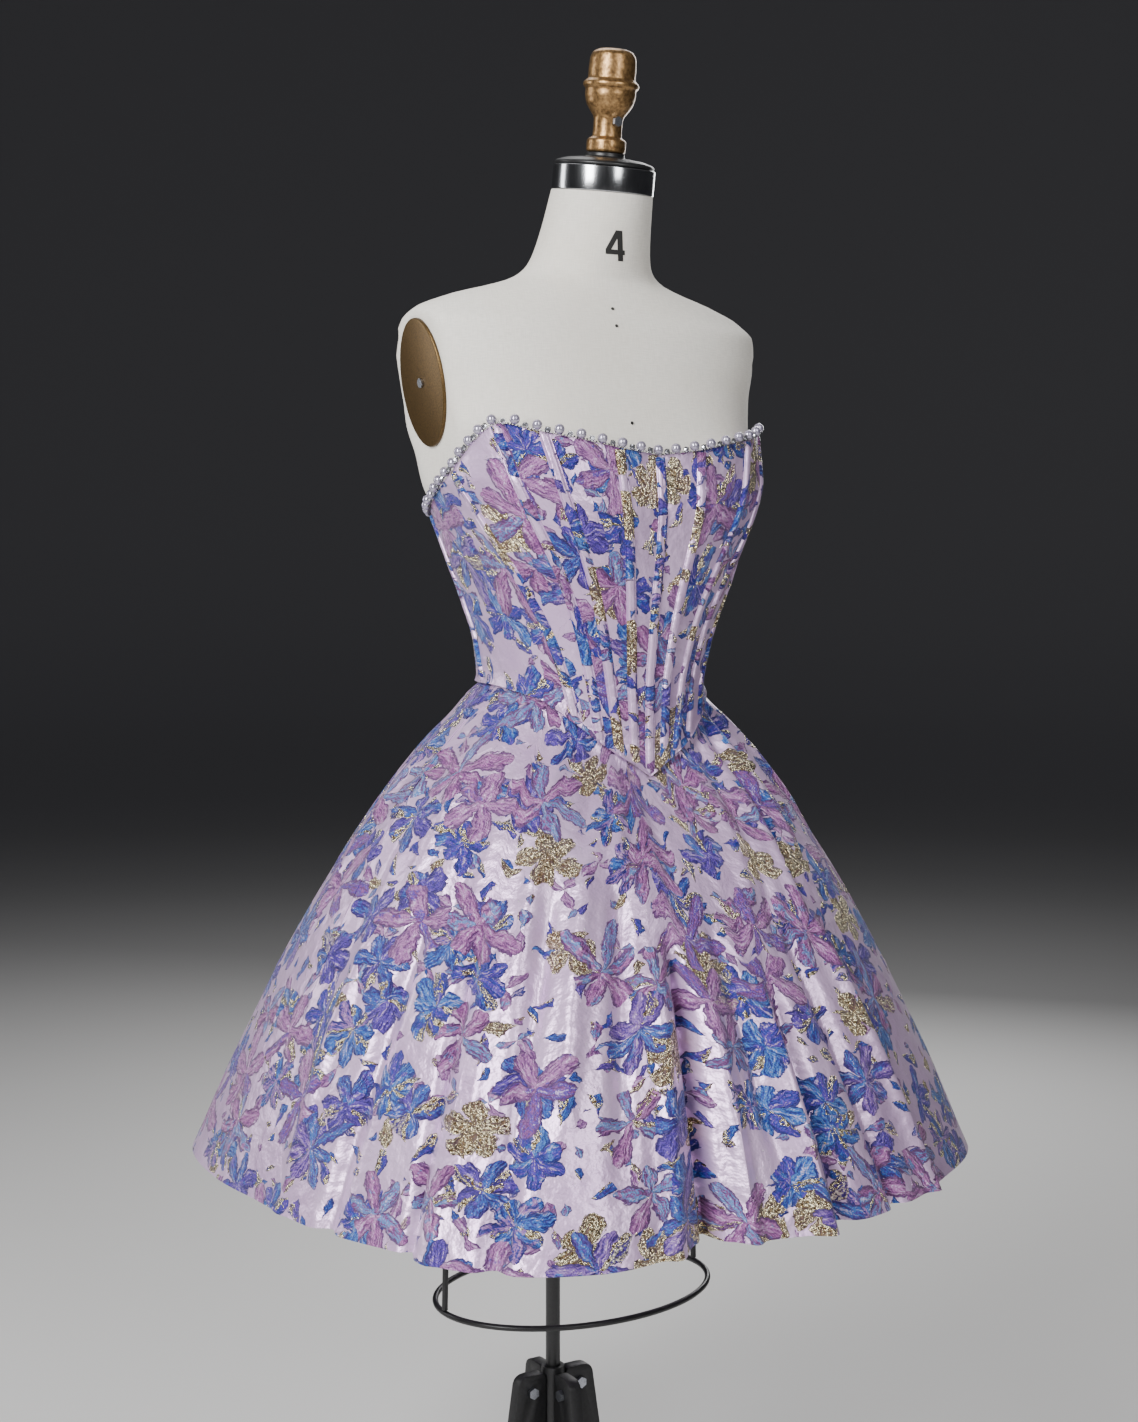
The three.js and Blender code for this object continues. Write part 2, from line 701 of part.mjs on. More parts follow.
// The linen form with its arm plates
object.add(mesh("form_linen", linenForm(), linen));
for (const side of sides) {
  const plate = new THREE.Group();
  plate.position.set(side.sign * armPlateFace, armPlateCentre.y, armPlateCentre.z);
  plate.rotation.y = side.sign * armPlateLean * radians;
  const disc = new THREE.CylinderGeometry(0.5, 0.5, armPlateThickness, 36);
  disc.scale(armPlateHeight, 1, armPlateWidth);
  disc.rotateZ(Math.PI / 2);
  disc.translate(side.sign * (seamGap + armPlateThickness / 2), 0, 0);
  const screw = crossBar(armScrewRadius, armScrewRise, 16);
  screw.translate(side.sign * (2 * seamGap + armPlateThickness + armScrewRise / 2), 0, 0);
  plate.add(mesh(`arm_plate_${side.name}`, disc, bronzePaint));
  plate.add(mesh(`arm_plate_screw_${side.name}`, screw, brushedSteel));
  object.add(plate);
}

// Neck: a steel band, a black cap and a cast finial, all leaning with the neck
const neck = new THREE.Group();
neck.position.set(0, neckTop.y, neckTop.z);
neck.rotation.x = neckTop.lean * radians;
neck.add(mesh("neck_band", cylinder(neckBandRadius, seamGap, neckBandHeight, 32), brushedSteel));
neck.add(mesh("neck_cap", lathe(capProfile, 24), blackPaint));
neck.add(mesh("finial", lathe(finialProfile, 20), castGold));
const screwShape = cylinder(setScrew.radius, setScrew.from, setScrew.to, 6);
screwShape.rotateX(Math.PI / 2);
screwShape.translate(0, 0, setScrew.up);
neck.add(mesh("finial_set_screw", screwShape, brushedSteel));
object.add(neck);

// Under the form: the pole with its top flange, and the wire cage that keeps the skirt off the stand
const pole = mesh("pole", lathe(poleProfile, 24), blackPaint);
pole.position.y = poleAxisY;
object.add(pole);

function ovalRing() {
  const steps = 32;
  const rings = [];
  for (let step = 0; step < steps; step += 1) {
    const turn = (step / steps) * 2 * Math.PI;
    const centre = new THREE.Vector3(ringHalfWidth * Math.cos(turn), ringHalfDepth * Math.sin(turn), 0);
    const along = new THREE.Vector3(-ringHalfWidth * Math.sin(turn), ringHalfDepth * Math.cos(turn), 0);
    const out = new THREE.Vector3(0, 0, -1).cross(along).negate().normalize();
    const ring = [];
    for (let side = 0; side < 6; side += 1) {
      const roll = (side / 6) * 2 * Math.PI;
      const point = centre.clone().addScaledVector(out, wireRadius * Math.cos(roll));
      point.z += wireRadius * Math.sin(roll);
      ring.push(point);
    }
    rings.push(ring);
  }
  return loft(rings, true);
}
const ring = mesh("cage_ring", ovalRing(), blackPaint);
ring.position.set(0, ringCentreY, ringHeight);
object.add(ring);
for (const side of sides) {
  const strut = new THREE.Group();
  const length = linenBottom - ringHeight - wireRadius - seamGap;
  const top = length - 2 * seamGap;
  const strutProfile = [
    { radius: 0, up: 0 },
    { radius: wireRadius, up: 0 },
    { radius: wireRadius, up: top - strutPlate.height },
    { radius: strutPlate.radius, up: top - strutPlate.height },
    { radius: strutPlate.radius, up: top },
    { radius: 0, up: top },
  ];
  strut.position.set(side.sign * ringHalfWidth, ringCentreY, ringHeight + wireRadius + seamGap);
  strut.rotation.y = -side.sign * Math.atan(strutLean / length);
  strut.add(mesh(`cage_strut_${side.name}`, lathe(strutProfile, 12), blackPaint));
  object.add(strut);
}

// The stand: a sleeve for the pole and four arched legs bolted round it
const sleeve = cut(cylinder(sleeveRadius, sleeveFoot, sleeveTop, 24), [
  cylinder(poleRadius + slidingGap, sleeveFoot - 5, sleeveTop + 5, 24),
]);
const base = new THREE.Group();
base.position.y = poleAxisY;
base.add(mesh("stand_sleeve", sleeve, blackPaint));

function legGeometry() {
  const inner = sleeveRadius + seamGap;
  const corner = 7;
  const outline = new THREE.Shape();
  outline.moveTo(inner, leg.lugFoot);
  outline.lineTo(inner, leg.lugTop - corner);
  outline.quadraticCurveTo(inner, leg.lugTop, inner + corner, leg.lugTop);
  outline.lineTo(leg.lugReach - 2 * corner, leg.lugTop);
  outline.quadraticCurveTo(leg.lugReach, leg.lugTop, leg.lugReach, leg.lugTop - 2 * corner);
  outline.bezierCurveTo(62, 130, 120, 60, leg.reach - leg.toeRise, 2 * leg.toeRise);
  outline.quadraticCurveTo(leg.reach, 2 * leg.toeRise, leg.reach, leg.toeRise);
  outline.lineTo(leg.reach, 0);
  outline.lineTo(leg.reach - leg.toeLength, 0);
  outline.bezierCurveTo(110, 34, 46, 110, boltOut + 1, leg.lugFoot - corner);
  outline.lineTo(inner, leg.lugFoot);
  const extrusion = { depth: leg.thickness, bevelEnabled: false, curveSegments: 5 };
  const plate = new THREE.ExtrudeGeometry(outline, extrusion);
  plate.translate(0, 0, -leg.thickness / 2);
  const hole = cylinder(boltRadius + seamGap, -leg.thickness, leg.thickness, 12);
  hole.translate(boltOut, boltZ, 0);
  const shape = cut(plate, [hole]);
  shape.rotateX(Math.PI / 2);
  return shape;
}
const legNames = ["left", "back", "right", "front"];
legNames.forEach((name, i) => {
  const turned = new THREE.Group();
  turned.rotation.z = (i * Math.PI) / 2;
  turned.add(mesh(`stand_leg_${name}`, legGeometry(), blackPaint));
  const bolt = hexBolt();
  bolt.rotateX(Math.PI / 2);
  bolt.translate(boltOut, 0, boltZ);
  turned.add(mesh(`stand_bolt_${name}`, bolt, brushedSteel));
  base.add(turned);
});
object.add(base);

export default object;
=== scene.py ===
"""Looks for a short strapless dress in a floral jacquard, on a limbless linen dress form with its stand.

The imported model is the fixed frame. Lengths are worked out in millimetres and angles in degrees around the body:
0 is centre front, 90 the wearer's left side and 180 centre back. Blender gets metres.
"""

import bisect
import math
from functools import partial

import bmesh
import bpy
from mathutils import Matrix, Vector, noise


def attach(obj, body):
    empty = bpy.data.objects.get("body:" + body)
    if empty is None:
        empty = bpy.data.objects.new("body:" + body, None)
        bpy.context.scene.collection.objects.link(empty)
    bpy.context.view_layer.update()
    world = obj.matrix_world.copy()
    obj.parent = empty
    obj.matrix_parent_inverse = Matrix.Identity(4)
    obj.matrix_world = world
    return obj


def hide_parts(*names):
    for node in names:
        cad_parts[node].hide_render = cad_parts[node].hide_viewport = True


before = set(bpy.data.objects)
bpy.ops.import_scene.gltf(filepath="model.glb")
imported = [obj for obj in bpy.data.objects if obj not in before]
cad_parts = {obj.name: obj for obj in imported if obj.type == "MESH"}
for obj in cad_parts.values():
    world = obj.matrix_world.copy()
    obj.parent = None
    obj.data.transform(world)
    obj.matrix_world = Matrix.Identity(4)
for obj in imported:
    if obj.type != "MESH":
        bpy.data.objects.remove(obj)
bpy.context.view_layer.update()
SIDES = (("right", -1), ("left", 1))
FORM_BODY, STAND_BODY = "form_and_dress", "stand"
FULL_TURN = 2 * math.pi


class Curve:
    """A smooth line through the places and values of a table, with no overshoot between them."""

    def __init__(self, places, values):
        self.places, self.values = list(places), list(values)
        steps = list(zip(self.places, self.places[1:], self.values, self.values[1:]))
        slopes = [(high - low) / (end - start) for start, end, low, high in steps]
        inner = [0 if a * b <= 0 else 2 * a * b / (a + b) for a, b in zip(slopes, slopes[1:])]
        self.tangents = [slopes[0], *inner, slopes[-1]]

    def __call__(self, place):
        at = min(max(place, self.places[0]), self.places[-1])
        i = min(max(bisect.bisect_left(self.places, at) - 1, 0), len(self.places) - 2)
        span = self.places[i + 1] - self.places[i]
        t = (at - self.places[i]) / span
        start = (1 + 2 * t) * (1 - t) ** 2 * self.values[i] + t * (1 - t) ** 2 * span * self.tangents[i]
        end = t * t * (3 - 2 * t) * self.values[i + 1] + t * t * (t - 1) * span * self.tangents[i + 1]
        return start + end


def curves(rows, *names):
    """One curve for each named column after the first, whose values are the places."""
    columns = list(zip(*rows))
    return {name: Curve(columns[0], columns[i + 1]) for i, name in enumerate(names)}


# The linen form: height, half width, reach to the front and back, centre, and how square the section is
FORM = curves(
    [
        (762, 160, 112, 112, 0, 2.2),
        (800, 168, 118, 120, 0, 2.2),
        (855, 171, 122, 126, 2, 2.2),
        (910, 160, 122, 118, 8, 2.15),
        (965, 136, 124, 100, 14, 2.1),
        (1010, 116, 123, 84, 19, 2.1),
        (1050, 109, 123, 79, 20, 2.1),
        (1090, 113, 126, 81, 20, 2.1),
        (1130, 123, 128, 89, 18, 2.15),
        (1170, 135, 129, 98, 14, 2.2),
        (1214, 148, 130, 109, 8, 2.3),
        (1245, 160, 128, 117, 5, 2.4),
        (1275, 168, 122, 115, 2, 2.4),
        (1300, 179, 113, 108, 0, 2.4),
        (1335, 187, 102, 101, -2, 2.4),
        (1368, 196, 95, 92, -1, 2.4),
        (1392, 194, 89, 82, 2, 2.5),
        (1408, 182, 80, 71, 3, 2.2),
        (1423, 146, 73, 59, 5, 2.1),
        (1436, 98, 70, 50, 9, 2),
        (1446, 73, 71, 42, 13, 2),
        (1456, 63, 74, 36, 18, 2),
        (1470, 57.5, 78, 30, 24, 2),
        (1496, 52.5, 85, 19, 33, 2),
        (1524, 49, 91, 8, 42, 2),
    ],
    "half_width", "front", "back", "centre", "corner",
)
BUST_ANGLE, BUST_SPREAD, BUST_HEIGHT, BUST_ABOVE, BUST_BELOW, BUST_REACH = 47, 25, 1222, 62, 88, 23
BRIDGE_HOLLOW, BRIDGE_EASE, BRIDGE_OVER = 0.42, 0.12, 80
BODY_CLEARANCE, CLOTH, STRAIGHT_ABOVE = 2.4, 2.0, 1245
ARM_FACE, ARM_LEAN, ARM_HEIGHT = 173, 9, 1338
ARM_PLATE_WIDTH, ARM_PLATE_TALL, ARM_PLATE_THICK = 82, 122, 3
NECK_TOP_Y, NECK_TOP_Z, NECK_LEAN, NECK_LEAN_START = -42, 1524, 9, 1425
LINEN_BOTTOM = 762
# A point inside the body at every height, from which faces are turned outward
BODY_MIDDLE = (0, -10)
SEAM_GAP = 0.3

NECKLINE = Curve(
    [0, 16, 32, 45, 57, 66, 74, 82, 96, 112, 140, 180],
    [1268, 1273, 1281, 1288, 1295, 1280, 1261, 1246, 1229, 1216, 1208, 1205],
)
WAIST = Curve([0, 8.5, 17, 27, 39, 58, 90, 180], [965, 976, 986, 999, 1017, 1040, 1051, 1053])
# Bodice seams: name, angle at the neckline, angle at the waist
SEAMS = [
    ("centre_front", 0, 0),
    ("inner_front", 18, 8.5),
    ("mid_front", 43, 17),
    ("outer_front", 58, 27),
    ("side_front", 77, 39),
    ("side_back", 112, 100),
    ("centre_back", 180, 180),
]
SEAM_BOW = 1.12
PANELS = ["centre_front", "inner_front", "mid_front", "outer_front", "side", "back"]

HEM_HEIGHT, HEM_HALF_WIDTH, HEM_HALF_DEPTH = 583, 384, 366
POINT_ROUNDING, FOLD_GROWTH, CENTRE_GROWTH = 12, 1.3, 1.8
FLARE = Curve([0, 0.043, 0.13, 0.258, 0.43, 0.605, 0.78, 1], [0, 0.058, 0.198, 0.372, 0.553, 0.71, 0.847, 1])
# Ridges and valleys of the hem: angle, radius, and where down the skirt the fold begins
FOLDS = curves(
    [
        (-180, 362, 0.35), (-168, 391, 0.35), (-153, 354, 0.4), (-138, 392, 0.3), (-121, 390, 0.3),
        (-100, 372, 0.3), (-87, 362, 0.3), (-70, 372, 0.3), (-55, 384, 0.3), (-51.2, 402, 0.3),
        (-39, 415, 0.2), (-29, 405, 0.25), (-20, 374, 0.35), (-14, 343, 0.4), (-6, 357, 0.4),
        (1, 365, 0.4), (4.25, 377, 0.5), (8.5, 357, 0.5), (14, 365, 0.4), (34, 371, 0.3),
        (57, 393, 0.25), (72, 386, 0.3), (86, 353, 0.4), (102, 381, 0.35), (119, 357, 0.4),
        (135, 393, 0.35), (150, 355, 0.4), (166, 387, 0.35), (180, 362, 0.35),
    ],
    "radius", "start",
)
# Soft creases of the skirt: angle at the upper and at the lower end, the share of the skirt's
# length where it starts and ends, its width and its height in millimetres (a trough is negative).
CREASES = [
    (-13.5, -12.5, 0.34, 1.02, 6.8, -26),
    (-17.5, -18.5, 0.38, 1.02, 11.7, 15),
    (-8, -7, 0.42, 1.02, 9, 12),
    (4.8, 4.6, 0.42, 1.02, 6.8, 7.8),
    (8, 9.5, 0.42, 1.02, 7.7, -10.2),
    (52, 36, 0.005, 0.36, 5.2, 5.9),
    (58, 47, 0.005, 0.32, 4.4, -5.9),
    (46, 27, 0.005, 0.44, 6.1, -5.9),
    (40, 19, 0.01, 0.52, 7.8, 5.5),
    (33, 10, 0.02, 0.5, 7.8, -5.1),
    (66, 60, 0.005, 0.34, 6.1, 5.5),
    (74, 72, 0.005, 0.3, 6.1, -5.5),
    (25, 4, 0.03, 0.46, 8.7, 4),
    (-8, -10, 0.03, 0.42, 7.8, -4),
    (-20, -26, 0.01, 0.4, 7.8, 4),
    (-31, -37, 0.01, 0.5, 8.7, -4.5),
    (-44, -45, 0.02, 0.6, 9.6, 4.5),
    (-53.5, -54, 0.35, 1.02, 5.9, -10.2),
    (-50, -50.5, 0.4, 1.02, 5.9, 7.8),
    (-60, -62, 0.02, 0.7, 9.6, -4.5),
    (-72, -74, 0.02, 0.6, 10.5, 4.5),
    (-84, -86, 0.01, 0.8, 11.3, -5.5),
    (-100, -104, 0.01, 0.6, 10.5, 5.1),
    (-115, -116, 0.01, 0.5, 7.8, -5.5),
    (-130, -128, 0.02, 0.6, 10.5, 4.5),
    (-146, -147, 0.01, 0.5, 7.8, -5.5),
    (-160, -160, 0.02, 0.6, 9.6, 5.1),
    (-173, -174, 0.01, 0.5, 7, -5.1),
    (88, 87, 0.01, 0.7, 10.5, -5.5),
    (99, 101, 0.01, 0.5, 8.7, 5.1),
    (113, 116, 0.01, 0.5, 7.8, -5.1),
    (127, 130, 0.02, 0.6, 9.6, 4.5),
    (142, 145, 0.01, 0.5, 7.8, -5.5),
    (158, 160, 0.02, 0.6, 9.6, 4.5),
    (172, 173, 0.01, 0.5, 7, -5.1),
    (-24, -27, 0.2, 0.95, 10.8, -12),
    (-33, -35, 0.15, 0.9, 10.8, 9),
    (-40, -42, 0.25, 1.02, 9.9, -12),
    (-2, 0, 0.3, 0.95, 9, -10.5),
    (18, 21, 0.35, 1.02, 9.9, -12),
    (27, 31, 0.3, 1.02, 9.9, 10.5),
    (-66, -69, 0.35, 1.02, 10.8, -12),
    (-78, -80, 0.4, 1.02, 10.8, 9),
]
# Height of a faint crease from storage, and the reach in mm of it, of the cloth's fine waves, of the tuck at the
# waist seam and of the puckers below it
STORAGE_CREASE, STORAGE_RISE, FINE_WAVE, WAIST_TUCK, WAIST_PUCKER = 768, 1.1, 1.5, 3.4, 2.2


def bell(offset, width):
    return math.exp(-((offset / width) ** 2))


def ease(t):
    s = min(max(t, 0), 1)
    return s * s * (3 - 2 * s)


def bust_height(z):
    return bell(z - BUST_HEIGHT, BUST_ABOVE if z > BUST_HEIGHT else BUST_BELOW)


def section_radius(angle, z):
    s, c = abs(math.sin(math.radians(angle))), math.cos(math.radians(angle))
    centre = FORM["centre"](z)
    depth = FORM["front"](z) - centre if c > 0 else FORM["back"](z) + centre
    power = FORM["corner"](z)
    return ((s / FORM["half_width"](z)) ** power + (abs(c) / depth) ** power) ** (-1 / power)


def centre_line(z):
    return -FORM["centre"](z)


def point_at(angle, radius, centre_y, z):
    turn = math.radians(angle)
    return Vector((radius * math.sin(turn), centre_y - radius * math.cos(turn), z))


def form_radius(angle, z):
    return section_radius(angle, z) + BUST_REACH * bell(abs(angle) - BUST_ANGLE, BUST_SPREAD * 0.8) * bust_height(z)


def form_point(angle, z):
    point = point_at(angle, form_radius(angle, z), centre_line(z), z)
    face = ARM_FACE + math.tan(math.radians(ARM_LEAN)) * (z - ARM_HEIGHT)
    point.x = min(max(point.x, -face), face)
    share = ease((z - NECK_LEAN_START) / (NECK_TOP_Z - NECK_LEAN_START))
    point.z += share * math.tan(math.radians(NECK_LEAN)) * (point.y - centre_line(z))
    return point


def bodice_radius(angle, z):
    side = abs(angle)
    inside = 1 - BRIDGE_HOLLOW * ((BUST_ANGLE - side) / BUST_ANGLE) ** 2
    across = inside if side < BUST_ANGLE else bell(side - BUST_ANGLE, BUST_SPREAD)
    upward = 1 - BRIDGE_EASE * ((z - BUST_HEIGHT) / BRIDGE_OVER) if z > BUST_HEIGHT else bust_height(z)
    bridged = section_radius(angle, min(z, STRAIGHT_ABOVE)) + BUST_REACH * across * upward
    return max(bridged, form_radius(angle, z)) + BODY_CLEARANCE + CLOTH


def bodice_point(angle, z, outward=0.0):
    return point_at(angle, bodice_radius(angle, z) + outward, centre_line(z), z)


def cone_radius(angle):
    turn = math.radians(angle)
    return 1 / math.hypot(math.sin(turn) / HEM_HALF_WIDTH, math.cos(turn) / HEM_HALF_DEPTH)


def fold_rise(angle, drop):
    start = FOLDS["start"](angle)
    share = max(drop - start, 0) / (1 - start)
    return (FOLDS["radius"](angle) - cone_radius(angle)) * share**FOLD_GROWTH


def crease_rise(angle, drop, radius):
    """What the listed creases add at a point of the skirt."""
    total = 0
    for upper, lower, start, end, width, height in CREASES:
        if not start < drop < end:
            continue
        share = (drop - start) / (end - start)
        away = math.radians(angle - upper - (lower - upper) * share) * radius
        if abs(away) < 3 * width:
            window = ease(share / 0.22) * (1 if end > 1 else ease((1 - share) / 0.4))
            calm = 1 if abs(height) > 10 else 1 - 0.65 * ease((drop - 0.75) / 0.25)
            total += height * bell(away, width) * window * calm
    return total


def skirt_point(angle, drop, outward=0.0):
    """A point of the skirt, whose folds and creases grow out of a plain cone."""
    seam = WAIST(abs(angle)) - SEAM_GAP
    z = seam + (HEM_HEIGHT - seam) * drop
    waist = bodice_radius(angle, seam)
    rounded = WAIST(math.hypot(angle, POINT_ROUNDING) - POINT_ROUNDING)
    rounded_drop = max((rounded - z) / (rounded - HEM_HEIGHT), 0)
    spread = FLARE(rounded_drop if abs(angle) < 90 else drop)
    radius = waist + (cone_radius(angle) - waist) * spread + fold_rise(angle, drop)
    radius += crease_rise(angle, drop, radius)
    radius += STORAGE_RISE * bell(z - STORAGE_CREASE, 3.5) * (0.5 + noise.noise(Vector((angle / 17, 3.1, 0))))
    turn = math.radians(angle)
    place = Vector((math.sin(turn) * 4, math.cos(turn) * 4, z / 75))
    radius += FINE_WAVE * noise.noise(place) * ease(drop / 0.1)
    radius -= WAIST_TUCK * (1 - ease(drop / 0.03))
    radius += WAIST_PUCKER * noise.noise(Vector((angle / 5, 7.7, drop * 9))) * bell(drop - 0.035, 0.03)
    return point_at(angle, radius + outward, centre_line(seam) * (1 - spread**CENTRE_GROWTH), z)


def running_lengths(points):
    """The distance along a line of points, from its start to each of them."""
    lengths = [0]
    for a, b in zip(points, points[1:]):
        lengths.append(lengths[-1] + (b - a).length)
    return lengths


def seam_angle(seam, share):
    """Where a bodice seam runs, from the waist at 0 to the neckline at 1."""
    return seam[2] + (seam[1] - seam[2]) * share**SEAM_BOW


# Materials. Colours are sRGB hex, turned to linear here.
def colour(code):
    parts = [int(code[i : i + 2], 16) / 255 for i in (1, 3, 5)]
    return (*[p / 12.92 if p < 0.04045 else ((p + 0.055) / 1.055) ** 2.4 for p in parts], 1.0)


def fill_ramp(node, stops):
    """Fills a colour ramp's stops, whose colours may also hold three plain numbers."""
    ramp = node.color_ramp
    ramp.interpolation = "CONSTANT"
    while len(ramp.elements) < len(stops):
        ramp.elements.new(0.5)
    for element, (place, _) in zip(ramp.elements, stops):
        element.position = place
    for element, (_, value) in zip(ramp.elements, stops):
        element.color = colour(value) if isinstance(value, str) else (*value, 1.0)


def add_node(tree, kind, *inputs, out=0, stops=None, **settings):
    """Adds a node, sets it, links or fills its inputs, in order or by name, and returns one of its outputs."""
    node = tree.nodes.new(kind)
    for name, value in settings.items():
        setattr(node, name, value)
    if stops:
        fill_ramp(node, stops)
    named = inputs[0].items() if inputs and isinstance(inputs[0], dict) else enumerate(inputs)
    for key, value in named:
        if isinstance(value, bpy.types.NodeSocket):
            tree.links.new(value, node.inputs[key])
        else:
            node.inputs[key].default_value = value
    return node.outputs[out]


def new_material(name, **sockets):
    """A new material, what adds nodes to it, and its surface shader with these sockets set."""
    material = bpy.data.materials.new(name)
    material.use_nodes = True
    surface = material.node_tree.nodes["Principled BSDF"]
    for socket, value in sockets.items():
        surface.inputs[socket.replace("_", " ")].default_value = value
    return material, partial(add_node, material.node_tree), surface


def dress(surface, **sockets):
    """Links a surface shader's sockets to what drives them."""
    for socket, value in sockets.items():
        surface.id_data.links.new(value, surface.inputs[socket.replace("_", " ")])


MATH, VECTOR, NOISE, MIX = "ShaderNodeMath", "ShaderNodeVectorMath", "ShaderNodeTexNoise", "ShaderNodeMix"
RANGE, RAMP, BUMP = "ShaderNodeMapRange", "ShaderNodeValToRGB", "ShaderNodeBump"
JOIN, SPLIT, SPLIT_COLOUR = "ShaderNodeCombineXYZ", "ShaderNodeSeparateXYZ", "ShaderNodeSeparateColor"
BLEND, FLAT = {"data_type": "RGBA", "out": 2}, {"noise_dimensions": "2D"}
PLUS, MINUS, TIMES, OVER, TIMES_PLUS = [
    {"operation": name} for name in ("ADD", "SUBTRACT", "MULTIPLY", "DIVIDE", "MULTIPLY_ADD")
]
# The most petals, length and width of a motif in mm, by which a ramp's stops hold them as shares
MOST_PETALS, MOST_LENGTH, MOST_WIDTH = 10, 60, 30


def motif_field(add, place, cell, randomness, shift, shapes):
    """Scatters one petalled motif per cell. shapes is a list of (share, petals, length, width): its place among
    the random numbers and the motif's size in mm. Wide petals are round and slender ones pointed.
    Returns sockets for how far a point is from the petal's midrib, 1 at its edge, and for what colours it."""
    moved = add(VECTOR, place, (*shift, 0), **PLUS)
    facts = {"Vector": moved, "Scale": 1 / cell, "Randomness": randomness}
    cells = add("ShaderNodeTexVoronoi", facts, voronoi_dimensions="2D").node
    sort, spin, tint = add(SPLIT_COLOUR, cells.outputs["Color"]).node.outputs
    away = add(VECTOR, moved, cells.outputs["Position"], **MINUS)
    east, north, _ = add(SPLIT, away).node.outputs
    reach = add(VECTOR, away, operation="LENGTH", out=1)
    turn = add(MATH, north, east, operation="ARCTAN2")
    turn = add(MATH, spin, FULL_TURN, turn, **TIMES_PLUS)
    shape = add(
        RAMP, sort, stops=[(s[0], (s[1] / MOST_PETALS, s[2] / MOST_LENGTH, s[3] / MOST_WIDTH)) for s in shapes]
    )
    petals, longest, widest = add(SPLIT, shape).node.outputs
    petals = add(MATH, petals, MOST_PETALS, **TIMES)
    count = add(MATH, turn, 1 / FULL_TURN, **TIMES)
    count = add(MATH, count, petals, **TIMES)
    petal = add(MATH, count, operation="FLOOR")
    key = add(JOIN, sort, tint, petal)
    chance = add("ShaderNodeTexWhiteNoise", key, noise_dimensions="3D", out=1)
    growth, other, chance = add(SPLIT_COLOUR, chance).node.outputs
    within = add(MATH, count, operation="FRACT")
    within = add(MATH, within, 0.5, **MINUS)
    within = add(MATH, within, FULL_TURN, **TIMES)
    within = add(MATH, within, petals, **OVER)
    along = add(MATH, reach, add(MATH, within, operation="COSINE"), **TIMES)
    across = add(MATH, reach, add(MATH, within, operation="SINE"), **TIMES)
    size = add(MATH, growth, 0.45, 0.62, **TIMES_PLUS)
    length = add(MATH, longest, MOST_LENGTH, **TIMES)
    length = add(MATH, length, size, **TIMES)
    share = add(MATH, along, length, **OVER)
    bend = add(MATH, chance, 0.5, **MINUS)
    bend = add(MATH, bend, add(MATH, share, along, **TIMES), **TIMES)
    across = add(MATH, bend, 0.55, across, **TIMES_PLUS)
    width = add(MATH, other, 9, 22, **TIMES_PLUS)
    width = add(MATH, widest, width, **TIMES)
    blunt = add(RANGE, widest, 8 / MOST_WIDTH, 11 / MOST_WIDTH, 1.0, 0.45)
    rest = add(MATH, 1.0, share, **MINUS)
    belly = add(MATH, add(MATH, share, rest, **TIMES), 4, **TIMES)
    belly = add(MATH, add(MATH, belly, 0, operation="MAXIMUM"), blunt, operation="POWER")
    belly = add(MATH, belly, add(MATH, share, 0.8, 0.5, **TIMES_PLUS), **TIMES)
    belly = add(MATH, belly, width, 0.02, **TIMES_PLUS)
    flank = add(MATH, across, operation="ABSOLUTE")
    rim = add(MATH, flank, belly, **OVER)
    return {
        "rim": rim, "along": along, "across": across, "flank": flank, "sort": sort, "petal": petal,
        "chance": chance, "other": other,
    }


